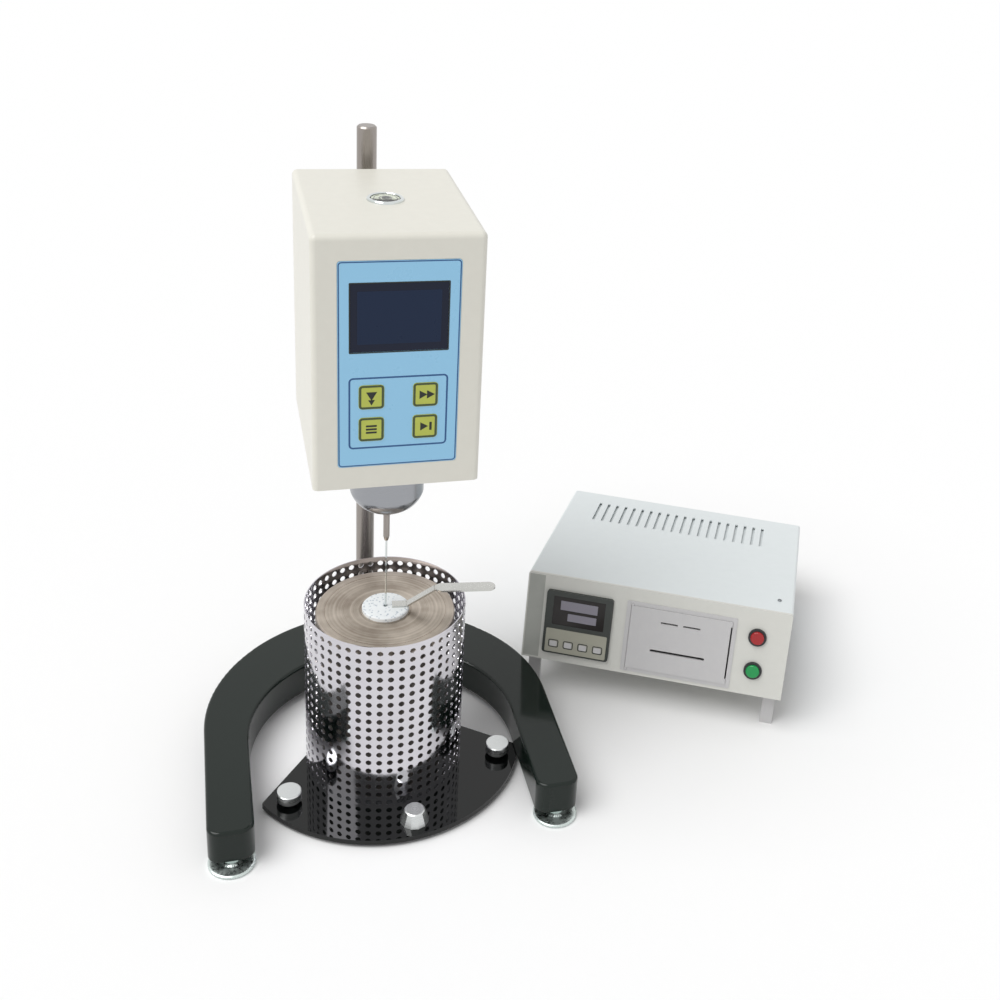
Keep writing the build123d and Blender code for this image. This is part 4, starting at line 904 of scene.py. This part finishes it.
@dataclass
class Furnace:
    """The small furnace on its plate, inside the perforated guard."""

    axis: tuple[float, float] = FURNACE_AXIS
    guard_radius: float = 75.3
    guard_sheet: float = 0.9
    guard_bottom: float = 9.0
    guard_top: float = 191.4
    columns: int = 48
    rows: int = 19
    top_margin: float = 2.2
    hole_radius: float = 2.8

    def guard(self) -> None:
        """Make the guard: one holed cell, repeated, bent to a cylinder and given its thickness."""
        width = 2 * math.pi * self.guard_radius / self.columns * MM
        margin = self.top_margin * MM
        height = ((self.guard_top - self.guard_bottom) * MM - margin) / self.rows
        mesh = bmesh.new()
        bmesh.ops.create_grid(mesh, x_segments=2, y_segments=2, size=0.5)
        bmesh.ops.scale(mesh, vec=(width, height, 1), verts=mesh.verts)
        middle = [v for v in mesh.verts if v.co.length < 1e-6]
        cut = bmesh.ops.bevel(
            mesh,
            geom=middle,
            offset=self.hole_radius * MM,
            offset_type="OFFSET",
            segments=4,
            profile=0.5,
            affect="VERTICES",
            material=-1,
        )
        rim = {v for f in cut["faces"] for v in f.verts}
        bmesh.ops.delete(mesh, geom=list(cut["faces"]), context="FACES_ONLY")
        for vert in rim:
            vert.co = vert.co.normalized() * self.hole_radius * MM
        cell = bpy.data.meshes.new("cell")
        mesh.to_mesh(cell)
        mesh.free()
        sheet = bmesh.new()
        for column in range(self.columns):
            for row in range(self.rows):
                start = len(sheet.verts)
                sheet.from_mesh(cell)
                sheet.verts.ensure_lookup_table()
                shift = ((column + 0.5) * width, (row + 0.5) * height, 0)
                bmesh.ops.translate(sheet, vec=shift, verts=sheet.verts[start:])
        bpy.data.meshes.remove(cell)
        bmesh.ops.remove_doubles(sheet, verts=sheet.verts, dist=1e-5)
        top = [e for e in sheet.edges if all(v.co.y > self.rows * height - 1e-6 for v in e.verts)]
        grown = bmesh.ops.extrude_edge_only(sheet, edges=top)
        moved = [v for v in grown["geom"] if isinstance(v, bmesh.types.BMVert)]
        bmesh.ops.translate(sheet, vec=(0, margin, 0), verts=moved)
        around = self.columns * width
        radius = self.guard_radius * MM
        for vert in sheet.verts:
            angle = vert.co.x / around * 2 * math.pi
            x = self.axis[0] + radius * math.cos(angle)
            y = self.axis[1] + radius * math.sin(angle)
            vert.co = Vector((x, y, self.guard_bottom * MM + vert.co.y))
        bmesh.ops.remove_doubles(sheet, verts=sheet.verts, dist=1e-5)
        bmesh.ops.recalc_face_normals(sheet, faces=sheet.faces)
        piece = make_piece(
            "guard_sheet", sheet, [BRIGHT_SHEET], "stand", ["guard"], 60, weighted=False
        )
        wall = piece.modifiers.new("sheet_thickness", "SOLIDIFY")
        wall.thickness = self.guard_sheet * MM
        wall.offset = -1

    def top_plate(self) -> None:
        """Make the turned top plate's finished copy and the lid on it."""
        polish("furnace_top_plate", [FACED_STEEL], smooth_angle=30)
        polish("furnace_lid", [SPECKLED_CERAMIC], smooth_angle=30)
        polish("lid_handle", [HANDLE_STRIP], smooth_angle=25)

    def build(self) -> None:
        """Make every piece of the furnace."""
        polish("furnace_plate", [BLACK_MIRROR], smooth_angle=25)
        self.guard()
        self.top_plate()
        polish("furnace_jacket", [HEATED_SHEET], smooth_angle=30)
        polish("furnace_base_ring", [BLACK_ABS], smooth_angle=30)
        for side in ("left", "right", "front"):
            node = f"level_screw_{side}"
            low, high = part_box(node)
            centre = ((low.x + high.x) / 2, (low.y + high.y) / 2)
            turned = replace(KNOB_ALLOY, name=f"turned_knob_{side}", axis=centre)
            polish(node, [turned], smooth_angle=28)
        for node, finish in (
            ("furnace_insulation", CERAMIC_WOOL),
            ("heater_block", TURNED_ALLOY),
            ("cartridge_heaters", GROUND_BAR),
            ("sample_tube", GROUND_BAR),
        ):
            dress(node, finish)


# ------------------------------------------------------------------ the temperature controller


@dataclass
class Controller:
    """The temperature controller with its module, printer and buttons."""

    corner: Point = (159.4, -69.7, 41.8)
    yaw: float = -26.96
    tilt: float = 8.96
    size: Point = (282.0, 259.0, 99.0)
    module_centre: tuple[float, float] = (58.3, 46.7)
    module_proud: float = 4.0
    module_keys: tuple[float, ...] = (-24, -8, 8, 24)
    screen_size: tuple[float, float, float] = (214, 66, 1.0)
    screen_place: Point = (137.5, 201.5, 94.8)
    top_screw: tuple[float, float] = (266, 30)
    side_screws: tuple[float, float] = (40, 219)
    side_screw_rise: float = 62
    screw_radius: float = 2.2
    screw_height: float = 1.3
    strip_size: tuple[float, float, float] = (17, 95, 0.06)
    strip_middle: float = 10
    matrix: Matrix = field(init=False)

    def __post_init__(self) -> None:
        """Work out the box's own axes: u to the right, v to the back and w up."""
        yaw, tilt = math.radians(self.yaw), math.radians(self.tilt)
        u = Vector((math.cos(yaw), math.sin(yaw), 0))
        v = Vector((-math.sin(yaw) * math.cos(tilt), math.cos(yaw) * math.cos(tilt), -math.sin(tilt)))
        w = u.cross(v)
        turn = Matrix((u, v, w)).transposed().to_4x4()
        self.matrix = Matrix.Translation(Vector(self.corner) * MM) @ turn

    def on_front(self, u: float, w: float, out: float) -> Matrix:
        """Give the matrix that stands a flat piece on the front.

        Args:
            u: Its centre to the right, in millimetres.
            w: Its centre above the bottom.
            out: How far it stands out of the front.

        Returns:
            The matrix.
        """
        move = Matrix.Translation(Vector((u, -out, w)) * MM)
        return self.matrix @ move @ Matrix.Rotation(math.radians(90), 4, "X")

    def temperature_module(self) -> None:
        """Make what lies on the temperature module: its window's bars and its key strip."""
        u, w = self.module_centre
        face = self.module_proud
        polish("temperature_module", [CHARCOAL_ABS], smooth_angle=25)
        polish("module_window", [SMOKED_ACRYLIC], smooth_angle=25)
        bars = join(
            placed(plate_mesh(40, 10.5, 0.1, 0.6), self.on_front(u, w + 21.0, face - 0.38)),
            placed(plate_mesh(31, 8.5, 0.1, 0.6), self.on_front(u + 4, w + 8.0, face - 0.38)),
        )
        make_piece("module_bars", bars, [PALE_BARS], "stand", weighted=False)
        strip = placed(plate_mesh(66, 27, 0.5, 1.4), self.on_front(u, w - 20.5, face))
        make_piece("module_key_strip", strip, [OLIVE_FILM], "stand", weighted=False)
        edges, keys = [], []
        for shift in self.module_keys:
            place = self.on_front(u + shift, w - 24, face + 0.4)
            edges.append(placed(plate_mesh(11, 9, 0.25, 2.0, (1.0, 0)), place))
            keys.append(placed(plate_mesh(8, 6, 0.7, 1.6), place))
        rims = join(*edges)
        make_piece("module_key_edges", rims, [CHARCOAL_ABS], "stand", weighted=False)
        make_piece("module_keys", join(*keys), [PALE_ABS], "stand", weighted=False)

    def cover_details(self) -> None:
        """Make the screen behind the vents, the cover's screws and the strip of painted shade on the front.
        """
        screen = plate_mesh(*self.screen_size, 1.0)
        placed(screen, self.matrix @ Matrix.Translation(Vector(self.screen_place) * MM))
        make_piece("vent_screen", screen, [COOL_COAT], "stand", weighted=False)
        turn = self.matrix.to_3x3()
        seats = [((*self.top_screw, self.size[2]), (0, 0, 1))]
        for v in self.side_screws:
            seats.append(((0, v, self.side_screw_rise), (-1, 0, 0)))
            seats.append(((self.size[0], v, self.side_screw_rise), (1, 0, 0)))
        screws = []
        for place, towards in seats:
            where = self.matrix @ (Vector(place) * MM) / MM
            facing = turn @ Vector(towards)
            screws.append(screw_mesh(where, facing, self.screw_radius, self.screw_height))
        make_piece("cover_screws", join(*screws), [CAST_ALLOY], "stand")
        # The darker grey strip beside the temperature module is painted shade.
        middle = self.on_front(self.strip_middle, self.size[2] / 2, 0)
        strip = placed(plate_mesh(*self.strip_size, 0.5), middle)
        make_piece("painted_shade_front_strip", strip, [PAINTED_SHADE_STRIP], "stand", weighted=False)

    def build(self) -> None:
        """Make every piece of the controller."""
        polish("controller_cover", [COOL_COAT], smooth_angle=30)
        polish("controller_chassis", [BEIGE_COAT], smooth_angle=30)
        polish("controller_front", [BEIGE_COAT], smooth_angle=30)
        self.temperature_module()
        self.cover_details()
        polish("printer_module", [PALE_ABS], smooth_angle=30)
        polish("printer_door", [PALE_ABS], smooth_angle=30)
        polish("button_bezels", [BLACK_ABS], smooth_angle=30)
        polish("stop_button", [RED_CAP], smooth_angle=40)
        polish("run_button", [GREEN_CAP], smooth_angle=40)
        for leg in ("leg_left", "leg_right"):
            polish(leg, [PALE_ABS], smooth_angle=30)
        polish("rear_pads", [BLACK_RUBBER], smooth_angle=30)
        polish("mains_inlet", [BLACK_ABS], smooth_angle=25)
        dress("transformer", DARK_LACQUER)


# ------------------------------------------------------------------ floor, light and camera


@dataclass
class Studio:
    """A pale floor, soft lamps and the camera."""

    eye: Point = (-148.2, -1203.7, 912.1)
    yaw: float = 19.01
    pitch: float = 23.68
    roll: float = 5.12
    focal_px: float = 1312.64
    image_px: float = 1000.0
    centre_px: tuple[float, float] = (620.2, 361.6)

    def floor(self) -> None:
        """Make the floor, white to the camera and to mirrors, and shaded by the object."""
        mesh = bmesh.new()
        bmesh.ops.create_grid(mesh, x_segments=1, y_segments=1, size=20.0)
        data = bpy.data.meshes.new("floor")
        mesh.to_mesh(data)
        mesh.free()
        floor = bpy.data.objects.new("floor", data)
        bpy.context.scene.collection.objects.link(floor)
        paper = bpy.data.materials.new("white_paper")
        paper.use_nodes = True
        tree = paper.node_tree
        shader = tree.nodes["Principled BSDF"]
        shader.inputs["Base Color"].default_value = linear("f4f4f4")
        shader.inputs["Roughness"].default_value = 0.9
        shader.inputs["Specular IOR Level"].default_value = 0.0
        data.materials.append(paper)

    def world(self) -> None:
        """Make the world: white to the camera, to mirrors and through glass, softer for lighting."""
        world = bpy.data.worlds.new("studio")
        bpy.context.scene.world = world
        world.use_nodes = True
        tree = world.node_tree
        tree.nodes.clear()
        rays = add_node(tree, "ShaderNodeLightPath").outputs
        seen = {0: rays["Is Camera Ray"], 1: rays["Is Glossy Ray"]}
        shown = add_node(tree, "ShaderNodeMath", {"operation": "MAXIMUM"}, seen)
        seen = {0: shown.outputs[0], 1: rays["Is Transmission Ray"]}
        shown = add_node(tree, "ShaderNodeMath", {"operation": "MAXIMUM"}, seen)
        dim = add_node(tree, "ShaderNodeBackground", {}, {"Color": (1, 1, 1, 1), "Strength": 0.52})
        white = add_node(tree, "ShaderNodeBackground", {}, {"Color": (1, 1, 1, 1), "Strength": 1.0})
        both = {0: shown.outputs[0], 1: dim.outputs[0], 2: white.outputs[0]}
        mix = add_node(tree, "ShaderNodeMixShader", {}, both)
        add_node(tree, "ShaderNodeOutputWorld", {}, {"Surface": mix.outputs[0]})

    def lamp(self, name: str, towards: Point, spread: float, strength: float) -> None:
        """Add a distant soft lamp, which lights the whole floor alike.

        Args:
            name: Its name.
            towards: The direction from the object to the lamp.
            spread: The lamp's apparent width in degrees.
            strength: Its irradiance in watts per square metre.
        """
        data = bpy.data.lights.new(name, "SUN")
        data.angle = math.radians(spread)
        data.energy = strength
        lamp = bpy.data.objects.new(name, data)
        lamp.rotation_euler = Vector(towards).to_track_quat("Z", "Y").to_euler()
        bpy.context.scene.collection.objects.link(lamp)

    def camera(self) -> None:
        """Set the camera from its measured place, turn and centre."""
        yaw, pitch, roll = (math.radians(a) for a in (self.yaw, self.pitch, self.roll))
        ahead = Vector((math.sin(yaw) * math.cos(pitch), math.cos(yaw) * math.cos(pitch), -math.sin(pitch)))
        right = Vector((math.cos(yaw), -math.sin(yaw), 0))
        up = right.cross(ahead)
        side = math.cos(roll) * right + math.sin(roll) * up
        top = -math.sin(roll) * right + math.cos(roll) * up
        turn = Matrix((side, top, -ahead)).transposed().to_4x4()
        data = bpy.data.cameras.new("camera")
        data.sensor_width = 36.0
        data.lens = self.focal_px * data.sensor_width / self.image_px
        data.shift_x = (self.image_px / 2 - self.centre_px[0]) / self.image_px
        data.shift_y = (self.centre_px[1] - self.image_px / 2) / self.image_px
        data.clip_start, data.clip_end = 0.05, 50
        eye = bpy.data.objects.new("camera", data)
        eye.matrix_world = Matrix.Translation(Vector(self.eye) * MM) @ turn
        bpy.context.scene.collection.objects.link(eye)
        bpy.context.scene.camera = eye

    def build(self) -> None:
        """Make the floor, the world, the lamps and the camera."""
        self.floor()
        self.world()
        self.lamp("soft_box", (-0.50, -0.14, 0.85), 45, 2.15)
        self.camera()
        bpy.context.scene.view_settings.view_transform = "Standard"


def main() -> None:
    """Build the whole object and its studio."""
    for part in (Stand(), Lift(), Head(), Spindle(), Furnace(), Controller(), Studio()):
        part.build()
        log.info("built %s", type(part).__name__)


if __name__ == "__main__":
    main()
